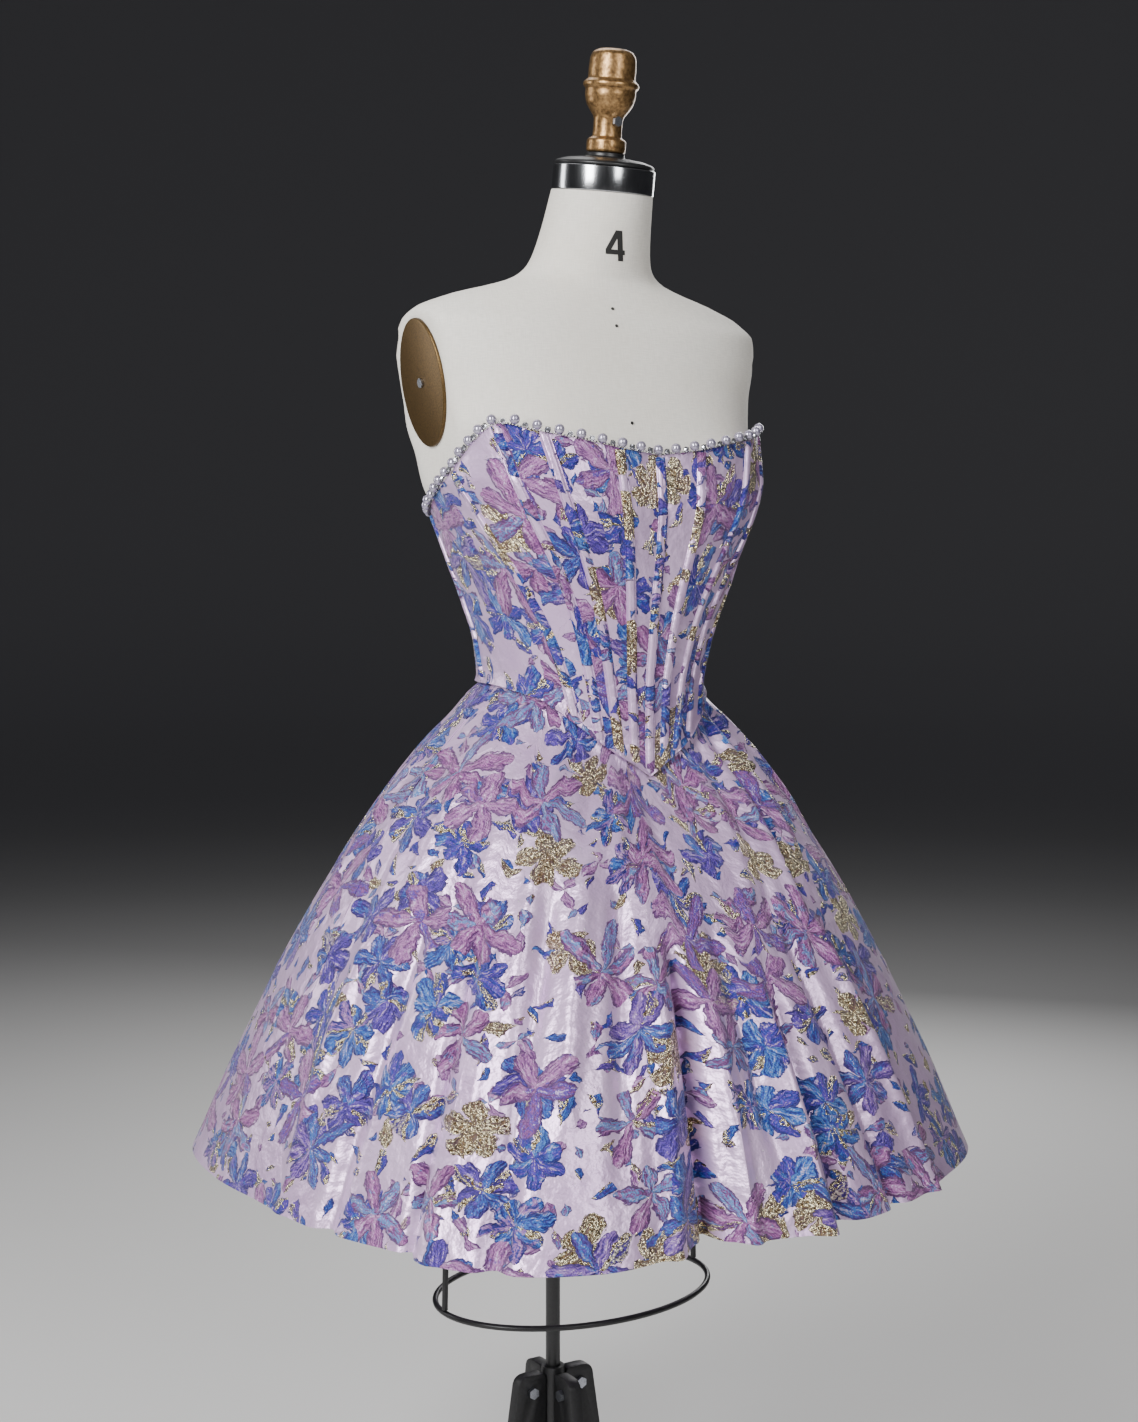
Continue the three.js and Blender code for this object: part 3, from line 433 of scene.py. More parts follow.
# Motifs by field: cell, randomness and shift in mm, then one row for each sort of motif with its share of the
# random numbers, petals, length and width, its light, deep and second yarn, how much of a petal the second yarn
# takes, and the share of gilt yarn in all of it and in patches of it. The last row of a field leaves cells bare.
BARE = (2, 0.5, 0.5, "#FFFFFF", "#FFFFFF", "#FFFFFF", 0, 0, 0)
MOTIFS = [
    (21, 0.95, (91, 761), [
        (0.0, 1, 21, 4.2, "#1A459B", "#021D71", "#987FAE", 0.2, 0, 0.6),
        (0.25, 1, 15, 4.6, "#94679B", "#6D3C79", "#4C75AE", 0.3, 0, 0.2),
        (0.4, 1, 19, 3.8, "#503596", "#25106E", "#2756A5", 0.3, 0.35, 0.6),
        (0.55, *BARE),
    ]),
    (35, 0.9, (517, 233), [
        (0.0, 1, 52, 8, "#2B61A9", "#00258A", "#43268B", 0.45, 0, 0.9),
        (0.24, 1, 44, 7.8, "#5E3F9A", "#351B7D", "#1C4DA1", 0.4, 0, 0.7),
        (0.38, 2, 31, 7, "#96659B", "#763C7C", "#3C6BAB", 0.35, 0, 0.3),
        (0.56, 1, 40, 7.2, "#2253A3", "#03207E", "#5E3F9A", 0.4, 0.2, 0.8),
        (0.72, 3, 24, 6.4, "#9E6FA1", "#7F4984", "#5279B1", 0.25, 0, 0.1),
        (0.84, 1, 34, 8, "#A78A4E", "#6D501D", "#2253A3", 0.2, 1, 0.6),
        (0.94, *BARE),
    ]),
    (58, 0.75, (0, 0), [
        (0.0, 7, 34, 10.2, "#386AAC", "#01298F", "#442891", 0.4, 0, 0.35),
        (0.3, 6, 36, 10.4, "#55399B", "#2F187D", "#2251A1", 0.35, 0, 0.2),
        (0.52, 5, 31, 10.8, "#A78A4E", "#6D501D", "#2253A3", 0.15, 1, 0.5),
        (0.66, 5, 38, 9.6, "#9B6398", "#793D78", "#5077B0", 0.3, 0, 0.12),
        (0.8, 8, 33, 9.2, "#285CA7", "#001D7F", "#895F9C", 0.35, 0, 0.5),
        (0.88, *BARE),
    ]),
    (83, 0.7, (311, 129), [
        (0.0, 6, 52, 10.5, "#9E659C", "#7E407E", "#5376B0", 0.25, 0, 0.08),
        (0.3, 5, 50, 11.5, "#A16DA1", "#844B88", "#4F3293", 0.2, 0, 0.05),
        (0.5, 7, 46, 9.4, "#7D5BA1", "#452384", "#285CA7", 0.4, 0, 0.2),
        (0.62, *BARE),
    ]),
]
# The satin ground's lit colour and a copy of it in painted shade, then the ink of the outlines and the pale stamen
# yarn
GROUND_LIT, GROUND_PAINTED_SHADE, INK_LINE, STAMEN = "#D3B9D9", "#B594BE", "#1F1246", "#CDB5D8"
# Gilt yarn in a painted highlight colour and a painted shade colour
GILT_LIT, GILT_PAINTED_SHADE = "#FFF1CC", "#604720"
TWILL_MM, BROCADE_RELIEF = 2.6, 0.0011


def brocade(name, motifs):
    """Floral jacquard: satin ground with raised, painterly flowers and leaves in twill, and metallic gilt yarn.
    The flowers stand about 1 mm proud and the satin puckers round them, so the ground glints unevenly."""
    material, add, surface = new_material(name, Sheen_Weight=0.2, Sheen_Roughness=0.35, Specular_IOR_Level=0.55)
    uv = add("ShaderNodeUVMap", uv_map="cut")
    plain = add(VECTOR, uv, (1000, 1000, 0), **TIMES)
    wander = add(NOISE, {"Vector": plain, "Scale": 1 / 14, "Detail": 3, "Roughness": 0.55}, out=1, **FLAT)
    wander = add(VECTOR, wander, (0.5, 0.5, 0.5), **MINUS)
    wander = add(VECTOR, wander, (9, 9, 0), **TIMES)
    place = add(VECTOR, plain, wander, **PLUS)
    patch = add(NOISE, {"Vector": plain, "Scale": 1 / 12}, **FLAT)
    speck = add(NOISE, {"Vector": plain, "Scale": 1 / 2.4, "Roughness": 0.6}, **FLAT)
    cloud = add(NOISE, {"Vector": plain, "Scale": 1 / 60}, **FLAT)
    # Broad random patches of the ground take the painted shade colour in place of the lit one
    shade = add(MIX, {0: cloud, 6: colour(GROUND_LIT), 7: colour(GROUND_PAINTED_SHADE)}, **BLEND)
    gilt = relief = add(MATH, 0.0, 0.0, **TIMES)
    for cell, randomness, shift, sorts in motifs:
        field = motif_field(add, place, cell, randomness, shift, [row[:4] for row in sorts])
        light, deep, second = [
            add(RAMP, field["sort"], stops=[(row[0], row[column]) for row in sorts]) for column in (4, 5, 6)
        ]
        shares = add(RAMP, field["sort"], stops=[(row[0], row[7:]) for row in sorts])
        second_share, gilt_share, patch_share = add(SPLIT_COLOUR, shares).node.outputs
        strand = add(JOIN, field["along"], field["across"], field["petal"])
        strand = add(VECTOR, strand, (0.09, 0.5, 7.3), **TIMES)
        streak = add(NOISE, {"Vector": strand, "Scale": 1, "Roughness": 0.65})
        ragged = add(MATH, streak, 0.75, field["rim"], **TIMES_PLUS)
        mask = add(RANGE, ragged, 1.4, 1.34, 0, 1)
        edge = add(RANGE, ragged, 1.02, 1.18, 0, 1)
        # The second yarn takes one side of some petals, with a ragged border
        border = add(MATH, patch, 0.9, field["other"], **TIMES_PLUS)
        border = add(MATH, border, second_share, **MINUS)
        tint = add(MIX, {0: add(RANGE, border, 0.62, 0.56, 0, 1), 6: light, 7: second}, **BLEND)
        # Strokes of the deep yarn run along the petal, and short ones leave its midrib like a feather
        barb = add(MATH, field["flank"], -0.8, field["along"], **TIMES_PLUS)
        barb = add(MATH, barb, FULL_TURN / TWILL_MM, **TIMES)
        barb = add(MATH, add(MATH, barb, operation="SINE"), 0.04, streak, **TIMES_PLUS)
        stroke = add(RANGE, barb, 0.49, 0.54, 0, 0.9)
        tint = add(MIX, {0: stroke, 6: tint, 7: deep}, **BLEND)
        inked = add(MIX, {0: 0.62, 6: deep, 7: colour(INK_LINE)}, **BLEND)
        tint = add(MIX, {0: add(RANGE, barb, 0.575, 0.62, 0, 0.85), 6: tint, 7: inked}, **BLEND)
        tint = add(MIX, {0: add(RANGE, barb, 0.4, 0.35, 0, 0.6), 6: tint, 7: colour(STAMEN)}, **BLEND)
        tint = add(MIX, {0: add(MATH, edge, 0.9, **TIMES), 6: tint, 7: inked}, **BLEND)
        # Gilt yarn: whole lobes of some motifs, and one side of others
        beside = add(MATH, field["across"], 0.05, patch, **TIMES_PLUS)
        beside = add(RANGE, beside, 0.52, 0.56, 0, 1)
        beside = add(MATH, beside, patch_share, **TIMES)
        glint = add(MATH, gilt_share, beside, operation="MAXIMUM")
        glint = add(MATH, glint, field["chance"], **MINUS)
        glint = add(RANGE, glint, -0.05, 0.05, 0, 1)
        glint = add(MATH, glint, add(RANGE, barb, 0.56, 0.535, 0.1, 1), **TIMES)
        glint = add(MATH, glint, mask, **TIMES, use_clamp=True)
        shade = add(MIX, {0: mask, 6: shade, 7: tint}, **BLEND)
        bulge = add(RANGE, ragged, 1.38, 0.75, 0.25, 1.2)
        bulge = add(MATH, add(MATH, barb, 0.5, **MINUS), -2.6, bulge, **TIMES_PLUS)
        bulge = add(MATH, bulge, mask, **TIMES)
        cover = add(MATH, 1.0, mask, **MINUS)
        relief = add(MATH, relief, cover, bulge, **TIMES_PLUS)
        gilt = add(MATH, gilt, cover, glint, **TIMES_PLUS)
    woven = add(RANGE, relief, 0.08, 0.3, 0, 1)
    gilt = add(RANGE, gilt, 0.35, 0.55, 0, 1)
    # The gilt's crinkle is painted: a fine noise gives a painted highlight gold where the bump below raises it, and a
    # painted shade gold between
    painted_glint_mask = add(RANGE, speck, 0.36, 0.56, 0, 1)
    gold = add(MIX, {0: painted_glint_mask, 6: colour(GILT_PAINTED_SHADE), 7: colour(GILT_LIT)}, **BLEND)
    shade = add(MIX, {0: gilt, 6: shade, 7: gold}, **BLEND)
    # Twill ribs of the weave, drawn 2.6 mm apart where the real ones are about 1 mm, so that they show
    ribs = {"Vector": plain, "Scale": 0.31 / TWILL_MM, "Distortion": 2.5, "Detail": 1, "Detail Scale": 1.2}
    rib = add("ShaderNodeTexWave", ribs, wave_type="BANDS", bands_direction="DIAGONAL")
    rib = add(MATH, rib, woven, **TIMES)
    # The ribs also darken the motifs' colour in lines: painted shade of the ribs, besides their bump
    rib_painted_shade = add(MATH, rib, -0.2, 1.08, **TIMES_PLUS)
    shade = add(VECTOR, shade, add(JOIN, rib_painted_shade, rib_painted_shade, rib_painted_shade), **TIMES)
    # Satin floats mirror the light softly, so the ground is given a little of a metal's shine
    shine = add(MATH, woven, -0.28, 0.42, **TIMES_PLUS)
    shine = add(MATH, gilt, 0.85, shine, **TIMES_PLUS)
    shine = add(MATH, shine, 0.95, operation="MINIMUM")
    rough = add(MATH, woven, 0.16, 0.36, **TIMES_PLUS)
    rough = add(MATH, gilt, -0.3, rough, **TIMES_PLUS)
    pucker = add(NOISE, {"Vector": plain, "Scale": 1 / 16, "Detail": 3}, **FLAT)
    height = add(MATH, pucker, 1.8, relief, **TIMES_PLUS)
    height = add(MATH, rib, 0.16, height, **TIMES_PLUS)
    grit = add(MATH, gilt, speck, **TIMES)
    height = add(MATH, grit, 2.6, height, **TIMES_PLUS)
    bump = add(BUMP, {"Strength": 1, "Distance": BROCADE_RELIEF, "Height": height})
    dress(surface, Base_Color=shade, Metallic=shine, Roughness=rough, Normal=bump)
    return material


def lining():
    """Polyester lining, plain woven: smooth and a little shiny."""
    material, add, surface = new_material("polyester_lining", Roughness=0.5, Sheen_Weight=0.2)
    place = add("ShaderNodeTexCoord", out=3)
    fade = add(NOISE, {"Vector": place, "Scale": 9})
    tint = add(MIX, {0: fade, 6: colour("#CFC3DA"), 7: colour("#BDB0CB")}, **BLEND)
    dress(surface, Base_Color=tint)
    return material


def linen():
    """Plain woven linen stretched over a padded shell: slubby yarn and no shine."""
    material, add, surface = new_material("plain_woven_linen", Roughness=0.9, Sheen_Weight=0.12)
    uv = add("ShaderNodeUVMap", uv_map="cut")
    # Threads drawn 1.1 mm apart where the real ones are about 0.7 mm, so that they show
    weft = add(VECTOR, uv, (1000 / 12, 1000 / 1.1, 0), **TIMES)
    warp = add(VECTOR, uv, (1000 / 1.1, 1000 / 14, 0), **TIMES)
    weft = add(NOISE, {"Vector": weft, "Scale": 1, "Detail": 1}, **FLAT)
    warp = add(NOISE, {"Vector": warp, "Scale": 1, "Detail": 1}, **FLAT)
    thread = add(MATH, weft, warp, **PLUS)
    cloud = add(NOISE, {"Vector": uv, "Scale": 7}, **FLAT)
    weave = add(RANGE, thread, 0.7, 1.3, 0, 1)
    tint = add(MIX, {0: weave, 6: colour("#D2CEC6"), 7: colour("#DFDBD3")}, **BLEND)
    tint = add(MIX, {0: add(RANGE, cloud, 0.4, 0.75, 0, 0.4), 6: tint, 7: colour("#D3CBBD")}, **BLEND)
    bump = add(BUMP, {"Strength": 0.35, "Distance": 0.0002, "Height": thread})
    dress(surface, Base_Color=tint, Normal=bump)
    return material


def grained(name, light, dark, grain_mm, depth_mm, stretch=(1, 1, 1), **sockets):
    """A finish with a grain of a real size: paint, enamel, plate or casting."""
    material, add, surface = new_material(name, **sockets)
    place = add("ShaderNodeTexCoord", out=3)
    place = add(VECTOR, place, tuple(s / (grain_mm / 1000) for s in stretch), **TIMES)
    grain = add(NOISE, {"Vector": place, "Scale": 1, "Detail": 3, "Roughness": 0.6})
    tint = add(MIX, {0: add(RANGE, grain, 0.35, 0.65, 0, 1), 6: colour(dark), 7: colour(light)}, **BLEND)
    bump = add(BUMP, {"Strength": 1, "Distance": depth_mm / 1000, "Height": grain})
    dress(surface, Base_Color=tint, Normal=bump)
    return material


BROCADE = brocade("floral_jacquard_brocade", MOTIFS)
# The channels are strips cut from between the large flowers
STRIP = brocade("floral_jacquard_strip", MOTIFS[:3])
LINING, LINEN = lining(), linen()
# Brushed stainless steel: brushed round the axis, so its lights stretch upward
STEEL = grained("brushed_stainless_steel", "#C4C5C8", "#AEB0B3", 1.2, 0.012, (1, 1, 0.02), Metallic=1, Roughness=0.17)
# Gilt spray paint over a rough casting: dull gold with a coarse skin
GILT = grained("gilt_painted_casting", "#AE8A5C", "#755838", 3.2, 0.28, Metallic=0.85, Roughness=0.33)
# Bronze spray paint on pressed steel: satin, slightly pebbled
BRONZE = grained("bronze_painted_steel", "#66502F", "#493820", 1.4, 0.04, Metallic=0.75, Roughness=0.36)
# Black enamel on turned and wire steel: smooth, satin
BLACK = grained("black_enamel", "#1C1C1D", "#101011", 2.5, 0.02, Metallic=0, Roughness=0.38)
# Black enamel on cast iron: pebbled by the sand of the mould
CAST = grained("black_enamel_on_cast_iron", "#1F1F20", "#111112", 3.0, 0.12, Metallic=0, Roughness=0.5)
# Zinc plated steel of the screws and bolts
ZINC = grained("zinc_plated_steel", "#B9BCC4", "#8E9198", 1.0, 0.02, Metallic=1, Roughness=0.3)
# Nickel plated zip parts
NICKEL = grained("nickel_plated_brass", "#C9C8C4", "#A9A8A4", 0.8, 0.01, Metallic=1, Roughness=0.25)
# Imitation pearl: ABS bead with a pearl coating, soft gloss with a clear coat
COAT = {"Coat_Weight": 0.7, "Coat_Roughness": 0.06}
PEARL = grained("pearl_coated_bead", "#B9B3C4", "#9A93AB", 5, 0.0, Metallic=0.6, Roughness=0.2, **COAT)
# Rhinestones: cut glass with a foiled back, so they mirror like metal
STONE = grained("foiled_rhinestone", "#F4F4F8", "#B9BCCB", 1.5, 0.0, Metallic=0.9, Roughness=0.06)
# Silver plate on the claws and the chain, mottled darker in a fine random grain
SILVER = grained("silver_plated_claw", "#A9A9AB", "#5C5C60", 1.0, 0.02, Metallic=1, Roughness=0.25)
# Black ink, dull, of the size number, and the dull heads of the pins
NUMBER_INK = grained("printed_ink", "#1E1D1C", "#151413", 1.0, 0.0, Roughness=0.8)


# Making pieces
def new_object(name, data):
    thing = bpy.data.objects.new(name, data)
    bpy.context.scene.collection.objects.link(thing)
    return thing


def solid_object(name, bm, material, smooth=True):
    """Turns a bmesh in millimetres into an object in metres."""
    bmesh.ops.scale(bm, vec=(0.001, 0.001, 0.001), verts=bm.verts)
    mesh = bpy.data.meshes.new(name)
    for face in bm.faces:
        face.smooth = smooth
    bm.to_mesh(mesh)
    bm.free()
    mesh.materials.append(material)
    return new_object(name, mesh)


def finish(name, bm, material, replaced, slot, body=FORM_BODY, smooth=True):
    """Turns a bmesh in millimetres into a piece that rides on a body and may stand for a solid."""
    piece = solid_object(name, bm, material, smooth)
    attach(piece, body)
    if replaced:
        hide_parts(replaced)
    return piece


def sheet_mesh(columns, rows, place, cut):
    """A grid whose points are placed by place(s, t) and laid on the flat cut by cut(s, t), s and t from 0 to 1."""
    bm = bmesh.new()
    bmesh.ops.create_grid(bm, x_segments=columns, y_segments=rows, size=0.5)
    uv = bm.loops.layers.uv.new("cut")
    spots = {v: (min(max(v.co.x + 0.5, 0), 1), min(max(v.co.y + 0.5, 0), 1)) for v in bm.verts}
    for face in bm.faces:
        for loop in face.loops:
            u, w = cut(*spots[loop.vert])
            loop[uv].uv = (u / 1000, w / 1000)
    for vert, (s, t) in spots.items():
        vert.co = place(s, t)
    bm.normal_update()
    return bm


def turn_outward(bm, centre):
    """Turns all faces over if they look towards the centre line."""
    looks = 0
    for face in bm.faces:
        middle = face.calc_center_median()
        looks += face.normal.dot(middle - Vector((*centre, middle.z)))
    if looks < 0:
        bmesh.ops.reverse_faces(bm, faces=bm.faces[:])


def sharpen(piece, degrees=50):
    """Keeps the edges sharp where the surface turns by more than this."""
    split = piece.modifiers.new("edges", "EDGE_SPLIT")
    split.split_angle = math.radians(degrees)


def thicken(piece, thickness_mm, inside=None):
    """Gives a sheet its thickness inward, with the lining's material inside."""
    if inside:
        piece.data.materials.append(inside)
    shell = piece.modifiers.new("thickness", "SOLIDIFY")
    shell.thickness = thickness_mm / 1000
    shell.offset = -1
    shell.material_offset = 1 if inside else 0
    shell.material_offset_rim = 0
    sharpen(piece)


def lathe_mesh(profile, sides):
    """A turned shape from a profile of (radius, height)."""
    bm = bmesh.new()
    verts = [bm.verts.new((radius, 0, up)) for radius, up in profile]
    edges = [bm.edges.new(pair) for pair in zip(verts, verts[1:])]
    section = verts + edges
    bmesh.ops.spin(bm, geom=section, cent=(0, 0, 0), axis=(0, 0, 1), angle=FULL_TURN, steps=sides, use_merge=True)
    bmesh.ops.remove_doubles(bm, verts=bm.verts, dist=1e-4)
    bmesh.ops.recalc_face_normals(bm, faces=bm.faces)
    return bm


def rounded_profile(profile, radius):
    """Rounds the corners of a lathe profile."""
    out = [profile[0]]
    for before, corner, after in zip(profile, profile[1:], profile[2:]):
        here, back, forth = Vector(corner), Vector(before), Vector(after)
        reach = min(radius, (back - here).length * 0.45, (forth - here).length * 0.45)
        start, end = here + (back - here).normalized() * reach, here + (forth - here).normalized() * reach
        for step in range(4):
            t = step / 3
            out.append(tuple(start * (1 - t) ** 2 + here * 2 * t * (1 - t) + end * t * t))
    return [*out, profile[-1]]


def placed(bm, matrix):
    bmesh.ops.transform(bm, matrix=matrix, verts=bm.verts)
    return bm


# Bodice panels. Each is cut on its own, so the flowers break at the seams.
PANEL_ROWS, PANEL_THICKNESS, PUCKER, WAIST_LIP, SEAM_DIP = 56, 1.6, 0.35, 2.2, 0.35


def panel(index, side_name, side):
    first, second = SEAMS[index], SEAMS[index + 1]
    columns = 10 + int((second[1] - first[1]) / 3)

    def angle_height(s, t):
        at = side * (seam_angle(first, t) + (seam_angle(second, t) - seam_angle(first, t)) * s)
        low_angle = first[2] + (second[2] - first[2]) * s
        high_angle = first[1] + (second[1] - first[1]) * s
        low, high = WAIST(low_angle) + SEAM_GAP, NECKLINE(high_angle)
        return at, low + (high - low) * t

    def place(s, t):
        angle, z = angle_height(s, t)
        lip = WAIST_LIP * bell(z - WAIST(abs(angle)), 3.2)
        spot = Vector((math.sin(math.radians(angle)) * 3, math.cos(math.radians(angle)) * 3, z / 26))
        inset = math.degrees(SEAM_GAP / 2 / bodice_radius(angle, z))
        angle += side * inset * ((s < 1e-6) - (s > 1 - 1e-6))
        edge = -SEAM_DIP * (bell(s, 0.05) + bell(1 - s, 0.05))
        return bodice_point(angle, z, lip + edge + PUCKER * noise.noise(spot))

    def cut(s, t):
        angle, z = angle_height(s, t)
        middle, _ = angle_height(0.5, t)
        return math.radians(angle - middle) * bodice_radius(angle, z) + 371 * index + 97 * side, z + 83 * index * side

    bm = sheet_mesh(columns, PANEL_ROWS, place, cut)
    turn_outward(bm, BODY_MIDDLE)
    node = f"bodice_{PANELS[index]}_{side_name}"
    piece = finish(f"cloth_{node}", bm, BROCADE, node, "brocade")
    thicken(piece, PANEL_THICKNESS, LINING)
    plain = {(s, t): bodice_point(*angle_height(s, t)) for s in (0, 0.5, 1) for t in (0, 0.1, 0.5, 0.9, 1)}


# Bone channels: half their width, the height of their edges and of their crown, their cloth, and the width in
# metres that they are cut to
CHANNEL_HALF, CHANNEL_EDGE, CHANNEL_CROWN, CHANNEL_THICKNESS, CHANNEL_CUT = 4.9, 0.7, 2.1, 0.6, 0.013
CHANNEL_GRID = (22, 90)


def channel(seam, side_name, side):
    """A bone channel: a pressed tube of the same cloth, stitched down along both edges."""

    def spot(s, t):
        low, high = WAIST(seam[2]) + SEAM_GAP + 2, NECKLINE(seam[1]) - 2
        return side * seam_angle(seam, t), low + (high - low) * t, (s - 0.5) * 2 * CHANNEL_HALF

    def place(s, t):
        angle, z, across = spot(s, t)
        crown = max(1 - abs(across / (CHANNEL_HALF * 0.8)) ** 4, 0)
        stitched = bell(abs(across) - CHANNEL_HALF * 0.86, 0.4)
        rise = CHANNEL_EDGE + CHANNEL_CROWN * crown - 0.5 * stitched
        ends = ease(min(t, 1 - t) * 60)
        ripple = 0.18 * noise.noise(Vector((z / 9, across / 5, seam[1] * side)))
        angle += math.degrees(across / bodice_radius(angle, z))
        return bodice_point(angle, z, (rise + ripple) * (0.45 + 0.55 * ends))

    def cut(s, t):
        _, z, across = spot(s, t)
        return across + 53 * seam[1] + 811 * side, z * 1.02 + 29 * seam[1]

    bm = sheet_mesh(*CHANNEL_GRID, place, cut)
    turn_outward(bm, BODY_MIDDLE)
    name = seam[0] if side_name is None else f"{seam[0]}_{side_name}"
    piece = finish(f"cloth_bone_channel_{name}", bm, STRIP, f"bone_channel_{name}", "brocade")
    thicken(piece, CHANNEL_THICKNESS)


for name, side in SIDES:
    for index in range(len(PANELS)):
        panel(index, name, side)
for name, side in SIDES:
    for seam in SEAMS[1:-1]:
        channel(seam, name, side)
channel(SEAMS[0], None, 1)

# Skirt: the flat cut is a half circle, shared by its pieces. Each fall of cloth is measured in steps.
SKIRT_ARC = math.radians(176)
CUT_INNER, CUT_OUTER = 236, 796
SKIRT_ROWS, SKIRT_THICKNESS, STEPS = 110, 1.8, 12


def skirt(node, start, end, columns):
    falls = []
    for column in range(columns + 1):
        angle = start + (end - start) * column / columns
        falls.append(running_lengths([skirt_point(angle, j / STEPS) for j in range(STEPS + 1)]))

    def place(s, t):
        angle = start + (end - start) * s
        drop = 1 - t
        inset = math.degrees(SEAM_GAP / 2 / 120 * (1 - 0.66 * drop))
        angle += inset * ((s < 1e-6) - (s > 1 - 1e-6))
        return skirt_point(angle, drop)

    def cut(s, t):
        angle = start + (end - start) * s
        lengths = falls[round(s * columns)]
        drop = (1 - t) * STEPS
        i = min(int(drop), STEPS - 1)
        down = lengths[i] + (lengths[i + 1] - lengths[i]) * (drop - i)
        out = CUT_OUTER - (lengths[-1] - down)
        turn = SKIRT_ARC * angle / 360
        return out * math.sin(turn), -out * math.cos(turn)

    bm = sheet_mesh(columns, SKIRT_ROWS, place, cut)
    turn_outward(bm, (0, 0))
    piece = finish(f"cloth_{node}", bm, BROCADE, node, "brocade")
    thicken(piece, SKIRT_THICKNESS, LINING)


SIDE_SEAM = 90
skirt("skirt_front", -SIDE_SEAM, SIDE_SEAM, 250)
skirt("skirt_back_left", SIDE_SEAM, 180, 120)
skirt("skirt_back_right", -180, -SIDE_SEAM, 120)


# Neckline: pearls with rhinestones in claws between them, and a fine cup chain along the edge
WALK_STEPS, WALK_END = 1440, 178.4
PEARL_RADIUS, FRONT_PITCH, BACK_PITCH, CHAIN_PITCH = 4.9, 21, 15.5, 3.1


def neckline_walk():
    """The neckline's length from the zip to each of many angles, once round."""
    angles = [-WALK_END + 2 * WALK_END * i / WALK_STEPS for i in range(WALK_STEPS + 1)]
    points = [bodice_point(angle, NECKLINE(abs(angle)), 1.6) for angle in angles]
    return list(zip(running_lengths(points), angles))


def on_neckline(walk, length, up, out):
    """Place on the neckline at a length along it, and the directions along, outward and upward there."""
    i = min(max(bisect.bisect_left(walk, (length, -999)), 1), len(walk) - 1)
    share = (length - walk[i - 1][0]) / (walk[i][0] - walk[i - 1][0])
    angle = walk[i - 1][1] + (walk[i][1] - walk[i - 1][1]) * share
    z = NECKLINE(abs(angle))
    base = bodice_point(angle, z, 0)
    ahead, behind = angle + 0.5, angle - 0.5
    along = (bodice_point(ahead, NECKLINE(abs(ahead))) - bodice_point(behind, NECKLINE(abs(behind)))).normalized()
    rise = bodice_point(angle, z + 5) - bodice_point(angle, z)
    outward = along.cross(rise).normalized()
    upward = outward.cross(along).normalized()
    return base + upward * up + outward * out, along, outward, upward


def scatter(shape, spots):
    """Copies a small bmesh to each matrix and returns them as one."""
    small = bpy.data.meshes.new("small")
    shape.to_mesh(small)
    shape.free()
    bm = bmesh.new()
    for matrix in spots:
        before = len(bm.verts)
        bm.from_mesh(small)
        bm.verts.ensure_lookup_table()
        bmesh.ops.transform(bm, matrix=matrix, verts=bm.verts[before:])
    bpy.data.meshes.remove(small)
    return bm


def frame_at(point, along, outward, upward):
    return Matrix.Translation(point) @ Matrix((along, outward, upward)).transposed().to_4x4()


walk = neckline_walk()
total = walk[-1][0]
pearl_lengths, stone_lengths = [], []
length = 6
while length < total - 4:
    _, _, outward, _ = on_neckline(walk, length, 0, 0)
    pitch = FRONT_PITCH if outward.y < -0.45 else BACK_PITCH
    pearl_lengths.append(length)
    stone_lengths.append(length + pitch / 2)
    length += pitch
sway = [noise.noise(Vector((value / 7, 0, 4.4))) for value in pearl_lengths]
bead = bmesh.new()
bmesh.ops.create_uvsphere(bead, u_segments=18, v_segments=12, radius=PEARL_RADIUS)
spots = [frame_at(*on_neckline(walk, at, 4.6 + shift, 1.4 + shift)) for at, shift in zip(pearl_lengths, sway)]
finish("neckline_pearl_beads", scatter(bead, spots), PEARL, "neckline_pearls", "pearl")

FACING_OUT = Matrix.Rotation(-math.pi / 2, 4, "X")
stone = bmesh.new()
bmesh.ops.create_cone(stone, cap_ends=True, segments=8, radius1=2.7, radius2=1.5, depth=1.3)
spots = [frame_at(*on_neckline(walk, at, 2.2, 3.0)) @ FACING_OUT for at in stone_lengths[:-1]]
finish("neckline_rhinestones", scatter(stone, spots), STONE, None, "pearl", smooth=False)

claw = bmesh.new()
bmesh.ops.create_cone(claw, cap_ends=True, segments=10, radius1=2.4, radius2=3.0, depth=1.6)
for turn in range(4):
    at = Matrix.Rotation(math.radians(90 * turn + 45), 4, "Z") @ Matrix.Translation((2.7, 0, 1.0))
    made = bmesh.ops.create_cube(claw, size=1)
    bmesh.ops.scale(claw, vec=(0.8, 0.9, 1.5), verts=made["verts"])
    bmesh.ops.transform(claw, matrix=at, verts=made["verts"])
spots = [frame_at(*on_neckline(walk, at, 2.2, 1.7)) @ FACING_OUT for at in stone_lengths[:-1]]
finish("neckline_claw_settings", scatter(claw, spots), SILVER, None, "zip_metal", smooth=False)

cup = bmesh.new()
bmesh.ops.create_icosphere(cup, subdivisions=1, radius=1.15)
spots = [
    frame_at(*on_neckline(walk, 3 + CHAIN_PITCH * i, 0.2 + 0.5 * (i % 2), 1.9 + 0.3 * (i % 3)))
    for i in range(int((total - 6) / CHAIN_PITCH))
]
finish("neckline_cup_chain", scatter(cup, spots), SILVER, None, "zip_metal", smooth=False)


# The linen form, with the seam that joins the neck to the shoulders
NECK_SEAM, NECK_SEAM_DEPTH, NECK_SEAM_WIDTH, LINEN_GRID = 1439, 1.1, 2.2, (120, 190)


def linen_angle_height(s, t):
    return -180 + 360 * s, LINEN_BOTTOM + (NECK_TOP_Z - LINEN_BOTTOM) * t


